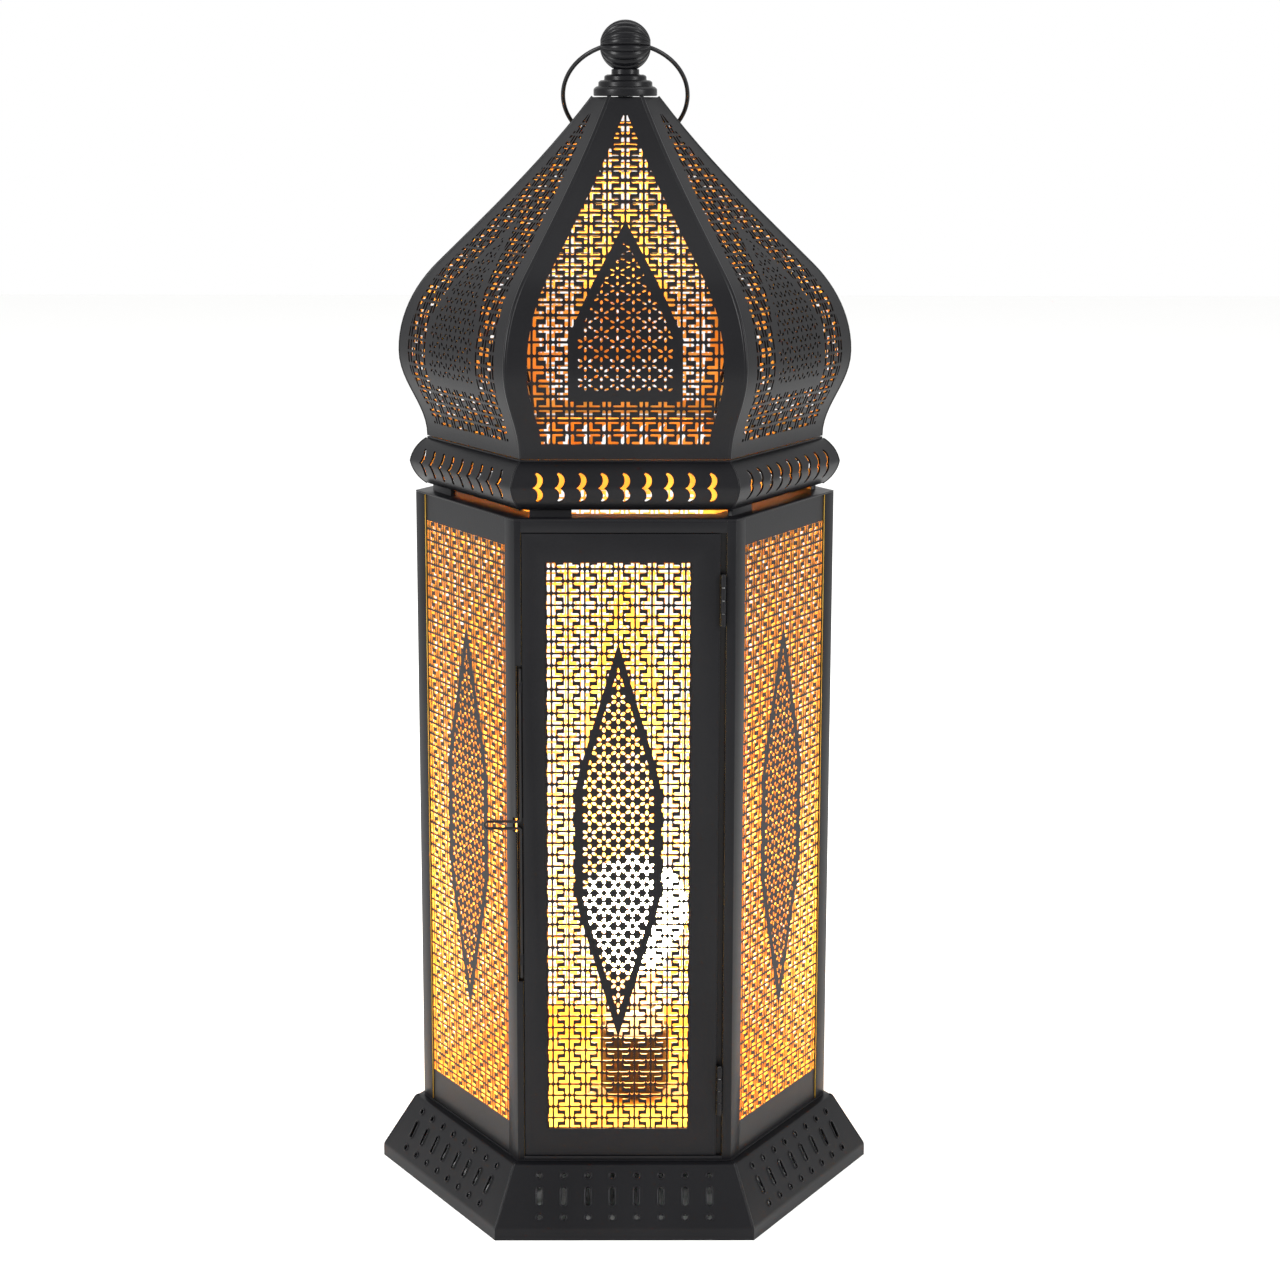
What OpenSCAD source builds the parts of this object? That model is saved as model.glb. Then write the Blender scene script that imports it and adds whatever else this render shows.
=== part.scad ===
// Moroccan floor lantern in folded sheet metal: flared hexagonal base, perforated
// six-sided body with a hinged front door, bead collar, onion dome, turned finial
// with a swinging carry ring, and an E27 lampholder with its bulb inside.
// Origin: centre of the base on the floor. +Z is up and the door faces -Y.

/* [Sheet metal] */
// Thickness of the posts, the door frame, the base and the collar
sheet_t = 1; // [0.8:0.1:1.2]
// Thickness of the perforated panels
panel_t = 0.8; // [0.6:0.1:1]

/* [Base] */
// Height of the base, floor to top
base_h = 37; // [30:1:50]
// How far the base's foot stands out past its top edge, at the corners
base_flare = 19; // [12:1:26]
// How far the base's top edge stands out past the body, at the corners
base_step = 5; // [3:0.5:8]
// Height of the upright lip at the foot
lip_h = 7; // [5:0.5:10]
// Width of the shelf that the body stands on
shelf_w = 14; // [12:1:20]
// Number of punched columns on each side of the base
base_columns = 8; // [5:1:8]
// Distance between the punched columns
base_pitch = 13.2; // [11:0.1:14]
// Diameter of the round punchings and width of the long ones
punch_d = 3.5; // [2.5:0.1:4.5]
// Length of the long punchings
punch_l = 10.5; // [8:0.5:12]

/* [Body] */
// Circumradius of the six-sided body
body_r = 116; // [105:1:140]
// Height of the body
body_h = 355; // [300:1:430]
// Width of a corner post's leg
post_w = 10.5; // [9:0.5:12]
// Distance from a body corner to a side panel's edge
panel_inset = 3.5; // [3:0.5:5]
// Width of the ring plate that closes the body's top
rim_w = 21; // [18:1:26]

/* [Door] */
// Distance from the front left corner to the door's edge
door_left = 4; // [3.8:0.1:5]
// Width of the jamb strip on the hinge side
jamb_w = 4.9; // [4:0.1:6]
// Height of the strip under the door
sill_h = 2.2; // [2:0.1:4]
// Height of the strip over the door
header_h = 6.2; // [5:0.1:10]
// Width of the door's left stile
stile_left = 12; // [11.5:0.5:16]
// Width of the door's right stile
stile_right = 14.7; // [14:0.1:18]
// Height of the door's top and bottom rails
rail_h = 15.5; // [12:0.5:20]
// Gap between the door and the strips round it
door_gap = 0.5; // [0.3:0.1:0.8]
// Overlap of the door's perforated sheet behind its frame
panel_lap = 4.5; // [3:0.5:5]
// Room between the closed door's back and the stop behind it
stop_gap = 0.8; // [0.6:0.1:1.2]
// How far the stop reaches into the doorway
stop_lap = 6; // [5:0.5:8]

/* [Hinges] */
// Outer radius of the hinge knuckles
knuckle_r = 1.5; // [1.4:0.1:1.7]
// Radius of the hinge pin
pin_r = 0.8; // [0.7:0.05:0.9]
// Radial running clearance of the pin in the door's knuckles
pin_clear = 0.05; // [0.03:0.01:0.08]
// Length of a hinge
hinge_l = 27.5; // [24:0.5:34]
// Gap between two knuckles
knuckle_gap = 0.4; // [0.3:0.05:0.6]
// Gap between the knuckles and the sheet edges beside them
barrel_gap = 0.2; // [0.2:0.05:0.4]
// How far the hinge axis stands in front of the body
hinge_proud = 0.7; // [0.6:0.1:0.9]
// Height of the lower hinge's middle above the body's foot
hinge_low = 40; // [35:1:60]
// Depth of the upper hinge's middle below the body's top
hinge_high = 42; // [35:1:60]
// Width of the hinge leaf behind the door's stile
leaf_w = 8; // [6:0.5:8]

/* [Latch] */
// Height of the latch above the body's foot
latch_h = 189; // [170:1:210]
// Radius of the latch wire
latch_r = 0.8; // [0.7:0.05:0.9]
// Radial running clearance of the latch wire in its eyes
latch_clear = 0.05; // [0.03:0.01:0.08]
// Length of the upright latch wire
latch_l = 170; // [140:5:180]
// Reach of the latch loop from its upright
latch_reach = 20; // [15:1:24]
// Distance between the two strands of the loop
strand_gap = 3.8; // [3.4:0.1:4.6]
// Outer radius of the eyes that hold the latch wire
eye_r = 1.2; // [1.15:0.05:1.3]
// Length of an eye
eye_l = 6; // [4:0.5:10]

/* [Collar] */
// Height of the bead collar
collar_h = 25; // [20:1:30]
// Gap between the body and the collar
collar_gap = 4; // [3:0.5:6]
// How far the collar's top and bottom edges stand in from the body's corners
collar_in = 6; // [4:0.5:9]
// How far the bead swells past its edges
bead_out = 7.8; // [6:0.1:9]
// Number of wavy slots on each side of the collar
wave_count = 9; // [5:1:9]
// Distance between the wavy slots
wave_pitch = 11.3; // [9:0.1:12]
// Height of a wavy slot
wave_h = 15; // [12:1:16]

/* [Dome] */
// Height of the dome
dome_h = 184; // [160:0.5:210]
// How far the dome's foot stands in from the body's corners
foot_in = 6.7; // [5:0.1:10]
// How far the dome's belly stands out past the body's corners
belly_out = 8.4; // [6:0.1:12]
// Height of the belly above the dome's foot
belly_h = 47; // [40:1:55]
// How far the shoulder stands in from the body's corners
shoulder_in = 13; // [10:1:18]
// Height of the shoulder above the dome's foot
shoulder_h = 94; // [88:1:105]
// Circumradius of the dome's top
crown_r = 18.6; // [17:0.1:22]

/* [Finial] */
// Radii of the turned cap's three steps
cap_radii = [17.2, 14.6, 11.4]; // [10:0.1:18]
// Heights of the turned cap's three steps
cap_heights = [5, 3.3, 3]; // [2:0.1:6]
// Radius of the neck under the ball
neck_r = 7.5; // [6:0.1:8.5]
// Height of the neck under the ball
neck_h = 2.9; // [2:0.1:5]
// Gap under the cap, above the dome
cap_gap = 0.7; // [0.5:0.1:4]
// Radius of the ball
ball_r = 13.9; // [12:0.1:18]
// How deep the ball sits into the neck
ball_sink = 1.7; // [1:0.1:2.5]
// Radius of the hole through the ball for the carry ring
eyelet_r = 3.1; // [3:0.1:3.6]
// Radius of the threaded rod that ties cap and ball to the dome
rod_r = 2; // [1.5:0.1:2.5]

/* [Carry ring] */
// Mean radius of the carry ring
ring_r = 34; // [30:1:44]
// Radius of the ring's wire
ring_wire_r = 1.2; // [1:0.05:1.3]
// How far the ring leans below the horizontal where it rests on the dome
ring_lean = 55; // [45:0.5:55]

/* [Lamp] */
// Sideways place of the lampholder
lamp_x = 6; // [-20:1:20]
// Outer radius of the lampholder's shell
holder_r = 20; // [18.5:0.5:24]
// Height of the lampholder's shell
holder_h = 40; // [34:1:48]
// Height of the lampholder's porcelain core above the lampholder's seat
core_h = 54; // [50:1:62]
// Outer radius of the porcelain core where it stands out of the shell
core_r = 17; // [16:0.1:17.5]
// Wall of the lampholder
holder_t = 2; // [1.5:0.1:2.5]
// Radius of the bulb's E27 cap
cap_e27_r = 13.2; // [13:0.1:13.3]
// Length of the bulb's cap
cap_e27_h = 26; // [25:0.5:27]
// Radius of the bulb's globe
globe_r = 30; // [22:0.5:30]
// Height of the globe's middle above the cap's foot
globe_up = 80; // [70:1:90]
// Wall of the bulb's glass
glass_t = 0.8; // [0.6:0.1:1.2]
// Radius of the cable hole in the rear panel's grommet
cable_r = 3.5; // [3:0.1:4.5]
// Height of the cable hole above the body's foot
cable_h = 9; // [8:0.5:12]

/* [Hidden] */
$fn = 48;

side = 60;                              // degrees between two sides
flat = cos(30);                         // apothem of a hexagon of circumradius 1
far = 400;                              // longer than any piece is wide
cut = 1;                                // how far a cut runs past the face that it opens

// Heights
floor_z = base_h;
body_z = base_h + sheet_t;
rim_z = base_h + body_h - sheet_t;
body_top = base_h + body_h;
collar_z = body_top + collar_gap;
ring_plate_z = collar_z + collar_h;
dome_z = ring_plate_z + sheet_t;
crown_z = dome_z + dome_h;
cap_z = crown_z + cap_gap;
cap_top = cap_z + cap_heights[0] + cap_heights[1] + cap_heights[2] + neck_h;
ball_z = cap_top - ball_sink + ball_r;
rod_top = ball_z - eyelet_r - 2;        // the rod ends under the ball's cross hole
rod_down = 8;                           // how far the rod reaches below the crown
rod_nut_r = 2 * rod_r;                  // the nut's radius over its corners
nut_h = 3.5;

// Widths
skirt_top_r = body_r + base_step;
base_r = skirt_top_r + base_flare;
face = body_r * flat;                   // distance from the axis to a side's outer face
half = body_r / 2;                      // half the width of a side

// Door and its hinges and latch, seen from the front
door_x0 = -half + door_left;
hinge_x = half - jamb_w - knuckle_r - barrel_gap;
door_x1 = hinge_x - knuckle_r - barrel_gap;
door_z0 = body_z + sill_h + door_gap;
door_z1 = rim_z - header_h - door_gap;
light_x0 = door_x0 + stile_left;
light_x1 = door_x1 - stile_right;
light_z0 = door_z0 + rail_h;
light_z1 = door_z1 - rail_h;
hinge_y = -face - hinge_proud;
hinge_x_room = jamb_w - 0.4;            // width of the leaf behind the jamb
leaf_y = -face + sheet_t;
stop_y = leaf_y + panel_t + stop_gap;
hinge_z = [body_z + hinge_low, rim_z - hinge_high];
knuckles = 4;
knuckle_pitch = (hinge_l + knuckle_gap) / knuckles;
eye_gap = 0.1;                          // gap between an eye and the door's edge
latch_x = door_x0 - eye_gap - eye_r;
latch_forward = 0.1;                    // the wire's axis stands this far before the leaves
latch_y = leaf_y - latch_forward;
latch_z = body_z + latch_h;
latch_bend = 2 * latch_r;               // radius of the wire's bends
slot_margin = 2;                        // room over and under the latch wire
slot_gap = 0.7;                         // room beside the eyes
notch_w = 4;                            // how far the notch reaches round the corner
notch_gap = 1.2;                        // room over and under the latch loop
eye_inset = 10;                         // distance from the wire's ends to the eyes' middles

// Dome outline
foot_r = body_r - foot_in;
belly_r = body_r + belly_out;
shoulder_r = body_r - shoulder_in;
foot_pull = 18;                         // lengths of the outline's handles
belly_pull = 18;
shoulder_pull = [18, 36];
crown_pull = 46;
shoulder_a = 135.7;                     // directions of the outline, from the horizontal
crown_a = 127.8;
dome_steps = [9, 8, 7];                 // facets of the three stretches

// Collar outline: an arc through its two edges
edge_a = (body_r - collar_in) * flat;
bead_r = (pow(collar_h / 2, 2) + pow(bead_out, 2)) / (2 * bead_out);
bead_a = edge_a + bead_out - bead_r;
lap_w = 8;                              // width of the collar's inward flanges
flange_w = 5;                           // how far the dome ring runs in past the flanges
flange_in = 0.8;                        // how far the flanges run into the bead

// Carry ring: its wire runs through the straight hole with the least side play
ring_sag = (ring_r - sqrt(pow(ring_r, 2) - pow(ball_r, 2))) / 2;
ring_off = ring_r - ring_sag;

// Lamp
foot_t = 1.2;                           // thickness of the lampholder's foot
holder_z = body_z + foot_t;
thread_t = 0.5;                         // thickness of the threaded sleeve
cap_show = 3;                           // how much of the cap shows under the glass
holder_edge = 8;                        // radius of the shell's rounded lower edge
core_top = holder_z + core_h;
bulb_z = core_top + cap_show - cap_e27_h;
globe_z = bulb_z + globe_up;
glass_z = bulb_z + cap_e27_h;
cable_z = body_z + cable_h;
grommet_wall = 2;

function dir(a) = [cos(a), sin(a)];
function bezier(p, t) = pow(1 - t, 3) * p[0] + 3 * pow(1 - t, 2) * t * p[1]
    + 3 * (1 - t) * t * t * p[2] + t * t * t * p[3];
function stretch(p, n, first = 0) = [for (i = [first:n]) bezier(p, i / n)];

// Circumradius and height of the dome's outline, from its foot to its crown
foot_pt = [foot_r, dome_z];
belly_pt = [belly_r, dome_z + belly_h];
shoulder_pt = [shoulder_r, dome_z + shoulder_h];
crown_pt = [crown_r, crown_z];
dome_line = concat(
    stretch([foot_pt, foot_pt + [0, foot_pull], belly_pt - [0, belly_pull], belly_pt],
        dome_steps[0]),
    stretch([belly_pt, belly_pt + [0, belly_pull],
        shoulder_pt - shoulder_pull[0] * dir(shoulder_a), shoulder_pt], dome_steps[1], 1),
    stretch([shoulder_pt, shoulder_pt + shoulder_pull[1] * dir(shoulder_a),
        crown_pt - crown_pull * dir(crown_a), crown_pt], dome_steps[2], 1));
// The same outline on the middle of a side
dome_face = [for (p = dome_line) [p[0] * flat, p[1]]];

// A point of an outline moved inwards by t
function inward(line, i, t) =
    let (a = line[max(i - 1, 0)], b = line[min(i + 1, len(line) - 1)], d = (b - a) / norm(b - a))
    line[i] + t * [-d[1], d[0]];
// Angles below the horizontal at which the dome stands in the carry ring's way
ring_reach = ring_off + ring_r + ring_wire_r;
rest_gap = 0.3;
ring_stops = [for (i = [1:len(dome_face) - 1], t = [0:0.1:1])
    let (p = dome_face[i - 1] + t * (dome_face[i] - dome_face[i - 1]), down = ball_z - p[1])
    if (norm([p[0], down]) < ring_reach) atan2(down, p[0])];
ring_rest = min(ring_lean, min(ring_stops) - asin((ring_wire_r + rest_gap) / ring_reach));
function dome_inner(t) = [for (i = [len(dome_face) - 1:-1:0]) inward(dome_face, i, t)];

// ---- Helpers ----

// Turns a piece made for the front to side number i, counter-clockwise from above
module to_side(i) {
    rotate([0, 0, side * i]) children();
}

// The sixth of space that belongs to the front side
module front_wedge() {
    linear_extrude(2 * far) polygon([[0, 0], [far * tan(30), -far], [-far * tan(30), -far]]);
}

// Bar along X whose section is drawn as [distance to the front, height]
module front_bar(width = far) {
    translate([-width / 2, 0, 0]) rotate([90, 0, 90]) linear_extrude(width)
        mirror([1, 0]) children();
}

// Bar of the given section, mitred at both corners of the front side
module mitred_bar() {
    intersection() {
        front_bar() children();
        front_wedge();
    }
}

module block(low, high) {
    translate(low) cube(high - low);
}

module hexagon(r) {
    circle(r, $fn = 6);
}

module hex_ring(r, width, z, t) {
    translate([0, 0, z]) linear_extrude(t) difference() {
        hexagon(r);
        hexagon(r - width);
    }
}

module upright(r, z0, z1, x = 0, y = 0) {
    translate([x, y, z0]) cylinder(h = z1 - z0, r = r);
}

// ---- Base ----

slope_h = base_h - lip_h;
slope_w = base_flare * flat;
slope_l = norm([slope_h, slope_w]);
slope_a = atan2(slope_w, slope_h);
slope_t = sheet_t / cos(slope_a);       // the sloping sheet's thickness, measured level

module skirt_section() {
    foot = base_r * flat;
    top = skirt_top_r * flat;
    fold = sheet_t / 2;                 // how far the inner fold sits out from the outer one
    polygon([[foot, 0], [foot, lip_h], [top, base_h], [face - shelf_w, base_h],
        [face - shelf_w, base_h - sheet_t], [top - slope_t + fold, base_h - sheet_t],
        [foot - slope_t, lip_h], [foot - sheet_t, 0]]);
}

// One column of a dot, a bar and a dot, drawn down the slope from its top edge
module punch_column() {
    margin = (slope_l - punch_l) / 4;
    for (d = [margin, slope_l - margin]) translate([0, -d]) circle(d = punch_d, $fn = 20);
    translate([-punch_d / 2, -(slope_l + punch_l) / 2]) square([punch_d, punch_l]);
}

module skirt_side(i) {
    color("#1c1c1d") to_side(i) difference() {
        mitred_bar() skirt_section();
        for (c = [0:base_columns - 1])
            translate([(c - (base_columns - 1) / 2) * base_pitch, -skirt_top_r * flat, base_h])
                rotate([90 - slope_a, 0, 0]) translate([0, 0, -3 * sheet_t])
                    linear_extrude(6 * sheet_t) punch_column();
    }
}

module floor_plate() {
    color("#1c1c1d") translate([0, 0, floor_z]) linear_extrude(sheet_t) hexagon(body_r);
}

// ---- Body ----

// Section of an angle strip whose corner is on +X: a is the leg clockwise from it
module post_section(a, b) {
    polygon([[body_r, 0], [body_r - b / 2, b * flat],
        [body_r - b / 2 - sheet_t * flat, b * flat - sheet_t / 2],
        [body_r - sheet_t / flat, 0],
        [body_r - a / 2 - sheet_t * flat, sheet_t / 2 - a * flat],
        [body_r - a / 2, -a * flat]]);
}

// Corner post number k, counter-clockwise from the front right corner
module post(k, a = post_w, b = post_w) {
    rotate([0, 0, side * (k - 1)]) translate([0, 0, body_z])
        linear_extrude(rim_z - body_z) post_section(a, b);
}

module corner_post(k) {
    color("#1a1a1b") post(k);
}

module post_front_right() {
    color("#1a1a1b") post(0, a = jamb_w);
}

module post_front_left() {
    reach = latch_l / 2 + slot_margin;
    open = strand_gap / 2 + latch_r + notch_gap;
    back = latch_y + latch_r + notch_gap;
    color("#1a1a1b") difference() {
        post(5, b = door_left - door_gap);
        block([latch_x - eye_r - slot_gap, -face - cut, latch_z - reach],
            [door_x0, -face + 2 * sheet_t, latch_z + reach]);
        block([-half - notch_w, -face - cut, latch_z - open], [door_x0, back, latch_z + open]);
    }
}

module side_sheet() {
    y = -face + sheet_t;
    block([-half + panel_inset, y, body_z], [half - panel_inset, y + panel_t, rim_z]);
}

module side_panel(i) {
    color("#c8902e") to_side(i) side_sheet();
}

module panel_rear() {
    color("#c8902e") to_side(3) difference() {
        side_sheet();
        translate([0, -face, cable_z]) rotate([90, 0, 0])
            cylinder(r = cable_r + grommet_wall, h = 2 * (sheet_t + panel_t) + cut, center = true);
    }
}

module door_surround() {
    strip_x0 = -half + door_left - door_gap;
    strip_x1 = half - jamb_w;
    stop_inset = 0.6;                   // how far the stop's ends keep from the corners
    stop_x = half - stop_inset;
    web_x1 = strip_x1 - sheet_t;
    header_z = rim_z - header_h;
    sill_z = body_z + sill_h;
    color("#1a1a1b") {
        difference() {
            block([-stop_x, stop_y, body_z], [stop_x, stop_y + panel_t, rim_z]);
            block([door_x0 + stop_lap, stop_y - cut, door_z0 + stop_lap],
                [door_x1 - stop_lap, stop_y + panel_t + cut, door_z1 - stop_lap]);
        }
        block([strip_x0, -face, header_z], [strip_x1, -face + sheet_t, rim_z]);
        block([strip_x0, -face, header_z], [web_x1, stop_y + panel_t, header_z + panel_t]);
        block([strip_x0, -face, body_z], [strip_x1, -face + sheet_t, sill_z]);
        block([strip_x0, -face, sill_z - panel_t], [web_x1, stop_y + panel_t, sill_z]);
    }
}

// Ring plate with a folded tab near the left end of each side; the tabs carry the collar
module top_rim() {
    tab_w = 22;
    tab_x = -half + 8;
    tab_t = 3 * sheet_t;
    tab_y = -edge_a + tab_t / 2;
    color("#1a1a1b") {
        hex_ring(body_r, rim_w, rim_z, sheet_t);
        for (i = [0:5]) to_side(i)
            block([tab_x, tab_y, body_top], [tab_x + tab_w, tab_y + tab_t, collar_z]);
    }
}

// ---- Door ----

module door_frame() {
    color("#1a1a1b") difference() {
        block([door_x0, -face, door_z0], [door_x1, -face + sheet_t, door_z1]);
        block([light_x0, -face - cut, light_z0], [light_x1, -face + sheet_t + cut, light_z1]);
    }
}

module door_panel() {
    color("#c8902e") block([light_x0 - panel_lap, leaf_y, light_z0 - panel_lap],
        [light_x1 + panel_lap, leaf_y + panel_t, light_z1 + panel_lap]);
}

// One half of a hinge: every second knuckle and the leaf behind the sheet. The door's half
// has turn = -1 and the post's half has turn = 1.
module hinge_half(z, turn, first, width, bore) {
    z0 = z - hinge_l / 2;
    neck = 0.4 * knuckle_r;             // the strap that ties a knuckle to its leaf starts here
    strap = neck + panel_t;
    strap_y = leaf_y + panel_t;
    strap_h = knuckle_pitch - knuckle_gap;
    color("#141415") difference() {
        union() {
            for (k = [first:2:knuckles - 1]) translate([0, 0, z0 + k * knuckle_pitch]) {
                translate([hinge_x, hinge_y, 0]) cylinder(h = strap_h, r = knuckle_r);
                block([hinge_x + min(turn * neck, turn * strap), hinge_y, 0],
                    [hinge_x + max(turn * neck, turn * strap), strap_y, strap_h]);
            }
            block([hinge_x + min(turn * strap, turn * width), leaf_y, z0],
                [hinge_x + max(turn * strap, turn * width), strap_y, z0 + hinge_l]);
        }
        upright(bore, z0 - cut, z0 + hinge_l + cut, hinge_x, hinge_y);
    }
}

module door_leaf(z) {
    hinge_half(z, -1, 1, knuckle_r + barrel_gap + leaf_w, pin_r + pin_clear);
}

module post_leaf(z) {
    hinge_half(z, 1, 0, hinge_x_room, pin_r);
}

module hinge_pin(z) {
    color("#3a3a3b") upright(pin_r, z - hinge_l / 2, z + hinge_l / 2, hinge_x, hinge_y);
}

// Two tubes on tabs behind the door's left stile
module latch_eyes() {
    tab_x = light_x0 - panel_lap - 1;   // the tabs end beside the perforated sheet
    color("#141415") for (s = [-1, 1]) {
        z = latch_z + s * (latch_l / 2 - eye_inset);
        difference() {
            union() {
                upright(eye_r, z - eye_l / 2, z + eye_l / 2, latch_x, latch_y);
                block([latch_x, leaf_y, z - eye_l / 2],
                    [tab_x, leaf_y + panel_t, z + eye_l / 2]);
            }
            upright(latch_r + latch_clear, z - eye_l, z + eye_l, latch_x, latch_y);
        }
    }
}

// Wire bent from one length: an upright with a hairpin loop in its middle
module latch_wire() {
    level = strand_gap / 2;
    tip_x = latch_x - latch_reach + level + latch_r;
    color("#0f0f10") {
        for (s = [-1, 1]) {
            straight = latch_l / 2 - level - latch_bend;
            z = latch_z + s * (level + latch_bend);
            upright(latch_r, min(z, z + s * straight), max(z, z + s * straight), latch_x, latch_y);
            translate([latch_x - latch_bend, latch_y, z]) rotate([90, 0, 0])
                rotate([0, 0, s > 0 ? -90 : 0]) rotate_extrude(angle = 90)
                    translate([latch_bend, 0]) circle(latch_r, $fn = 24);
            translate([latch_x - latch_bend, latch_y, latch_z + s * level]) rotate([0, -90, 0])
                cylinder(h = latch_x - latch_bend - tip_x, r = latch_r, $fn = 24);
        }
        translate([tip_x, latch_y, latch_z]) rotate([90, 0, 0]) rotate([0, 0, 90])
            rotate_extrude(angle = 180) translate([level, 0]) circle(latch_r, $fn = 24);
    }
}

// ---- Collar ----

module collar_section() {
    difference() {
        translate([bead_a, collar_z + collar_h / 2]) circle(bead_r, $fn = 96);
        translate([bead_a, collar_z + collar_h / 2]) circle(bead_r - sheet_t, $fn = 96);
        translate([edge_a - far, 0]) square([far, 2 * far]);
    }
    for (z = [collar_z, collar_z + collar_h - sheet_t])
        translate([edge_a - lap_w, z]) square([lap_w + flange_in, sheet_t]);
}

// Two arcs that bulge the same way and meet in a cusp, drawn about the middle
module wave_slot() {
    bulge = 2;
    width = 2.6;
    cusp = 0.4;                         // how far the two arcs run into each other
    reach = wave_h / 4;
    r = (reach * reach + bulge * bulge) / (2 * bulge);
    for (s = [-1, 1]) translate([bulge / 2 - r, s * reach]) intersection() {
        difference() {
            circle(r + width / 2, $fn = 32);
            circle(r - width / 2, $fn = 32);
        }
        translate([0, -reach - cusp]) square([2 * r, 2 * (reach + cusp)]);
    }
}

module collar_side(i) {
    color("#1a1a1b") to_side(i) difference() {
        mitred_bar() collar_section();
        for (c = [0:wave_count - 1])
            translate([(c - (wave_count - 1) / 2) * wave_pitch, -edge_a + 2 * sheet_t,
                collar_z + collar_h / 2])
                rotate([90, 0, 0]) linear_extrude(2 * bead_out) wave_slot();
    }
}

// ---- Dome ----

module dome_ring() {
    color("#1a1a1b") hex_ring(foot_r, (lap_w + flange_w) / flat, ring_plate_z, sheet_t);
}

module petal(i) {
    color("#1a1a1b") to_side(i) mitred_bar()
        polygon(concat(dome_face, dome_inner(sheet_t)));
}

// Six-sided plate that closes the dome's top, wedged inside the petals
module crown_plate() {
    last = len(dome_face) - 1;
    slope = (dome_face[last - 1] - dome_face[last]);
    lean = slope[0] / -slope[1];        // how much wider the dome gets per millimetre down
    wall = sheet_t * norm([1, lean]);   // the petals' thickness, measured level
    plate_gap = 0.1;
    plate_r = (crown_r * flat - wall - plate_gap) / flat;
    vent_r = 2;
    color("#1a1a1b") translate([0, 0, crown_z - 2 * sheet_t]) linear_extrude(2 * sheet_t)
        difference() {
            hexagon(plate_r);
            circle(rod_r);
            for (i = [0:5]) rotate(side * i)
                translate([(rod_nut_r + plate_r) / 2, 0]) circle(vent_r, $fn = 24);
        }
}

// ---- Finial ----

module finial_cap() {
    r = cap_radii;
    z1 = cap_heights[0];
    z2 = z1 + cap_heights[1];
    z3 = z2 + cap_heights[2];
    edge = 0.8;                         // chamfer of each step
    color("#1a1a1b") difference() {
        translate([0, 0, cap_z]) rotate_extrude() polygon([[0, 0], [r[0] - edge, 0],
            [r[0], edge], [r[0], z1 - edge], [r[0] - edge, z1], [r[1], z1], [r[1], z2 - edge],
            [r[1] - edge, z2], [r[2], z2], [r[2], z3 - edge], [r[2] - edge, z3], [neck_r, z3],
            [neck_r, z3 + neck_h], [0, z3 + neck_h]]);
        upright(rod_r, cap_z - cut, ball_z);
        translate([0, 0, ball_z]) sphere(ball_r, $fn = 64);
    }
}

module finial_ball() {
    color("#1a1a1b") difference() {
        translate([0, 0, ball_z]) sphere(ball_r, $fn = 64);
        translate([0, 0, ball_z]) rotate([0, 90, 0])
            cylinder(r = eyelet_r, h = 3 * ball_r, center = true);
        upright(rod_r, 0, rod_top);
    }
}

// Threaded rod with a collar under the cap
module finial_rod() {
    color("#8a8a88") {
        upright(rod_r, crown_z - rod_down, rod_top);
        upright(2 * rod_r, crown_z, cap_z);
    }
}

module rod_nut() {
    nut_z = crown_z - 2 * sheet_t - nut_h;
    color("#8a8a88") difference() {
        translate([0, 0, nut_z]) cylinder(h = nut_h, r = rod_nut_r, $fn = 6);
        upright(rod_r, nut_z - cut, crown_z);
    }
}

// Ring that leans back on the dome and turns about the hole through the ball
module carry_ring() {
    color("#0f0f10") translate([0, 0, ball_z]) rotate([-ring_rest, 0, 0])
        translate([0, ring_off, 0]) rotate_extrude($fn = 72)
            translate([ring_r, 0]) circle(ring_wire_r, $fn = 24);
}

// ---- Lamp ----

screw_x = holder_r + 4;                 // distance of the foot's screws from its middle
screw_r = 1.6;

module at_lamp() {
    translate([lamp_x, 0, 0]) children();
}

module lampholder_foot() {
    foot_margin = 4;                    // sheet beyond the screws
    foot_x = screw_x + foot_margin;
    foot_y = 9;
    color("#8a8a88") at_lamp() difference() {
        block([-foot_x, -foot_y, body_z], [foot_x, foot_y, holder_z]);
        for (s = [-1, 1]) upright(screw_r, body_z - cut, holder_z + cut, s * screw_x);
    }
}

module lampholder_screws() {
    head_h = 2;
    head_dome_r = 3.6;                  // radius of the round that shapes the head
    color("#8a8a88") at_lamp() for (s = [-1, 1]) {
        upright(screw_r, body_z, holder_z, s * screw_x);
        translate([s * screw_x, 0, holder_z]) intersection() {
            cylinder(h = head_h, r = 2 * screw_r);
            translate([0, 0, -screw_r]) sphere(head_dome_r, $fn = 32);
        }
    }
}

module lampholder_shell() {
    edge = holder_edge;
    color("#151516") at_lamp() translate([0, 0, holder_z]) rotate_extrude() difference() {
        union() {
            translate([0, edge]) square([holder_r, holder_h - edge]);
            square([holder_r - edge, holder_h / 2]);
            translate([holder_r - edge, edge]) circle(edge);
        }
        translate([-holder_r, -far / 2]) square([holder_r, far]);
        translate([0, edge]) square([holder_r - holder_t, holder_h]);
    }
}

// Porcelain core: its floor carries the contact under the bulb's tip, and its rim stands
// out of the shell round the threaded sleeve
module lampholder_core() {
    color("#e6e2d6") at_lamp() difference() {
        union() {
            upright(holder_r - holder_t, holder_z + holder_edge, holder_z + holder_h - sheet_t);
            upright(core_r, holder_z + holder_edge, core_top);
        }
        upright(cap_e27_r + thread_t, bulb_z, core_top + cut);
    }
}

module lampholder_thread() {
    color("#c9a14a") at_lamp() difference() {
        upright(cap_e27_r + thread_t, bulb_z, core_top);
        upright(cap_e27_r, bulb_z - cut, core_top + cut);
    }
}

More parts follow.
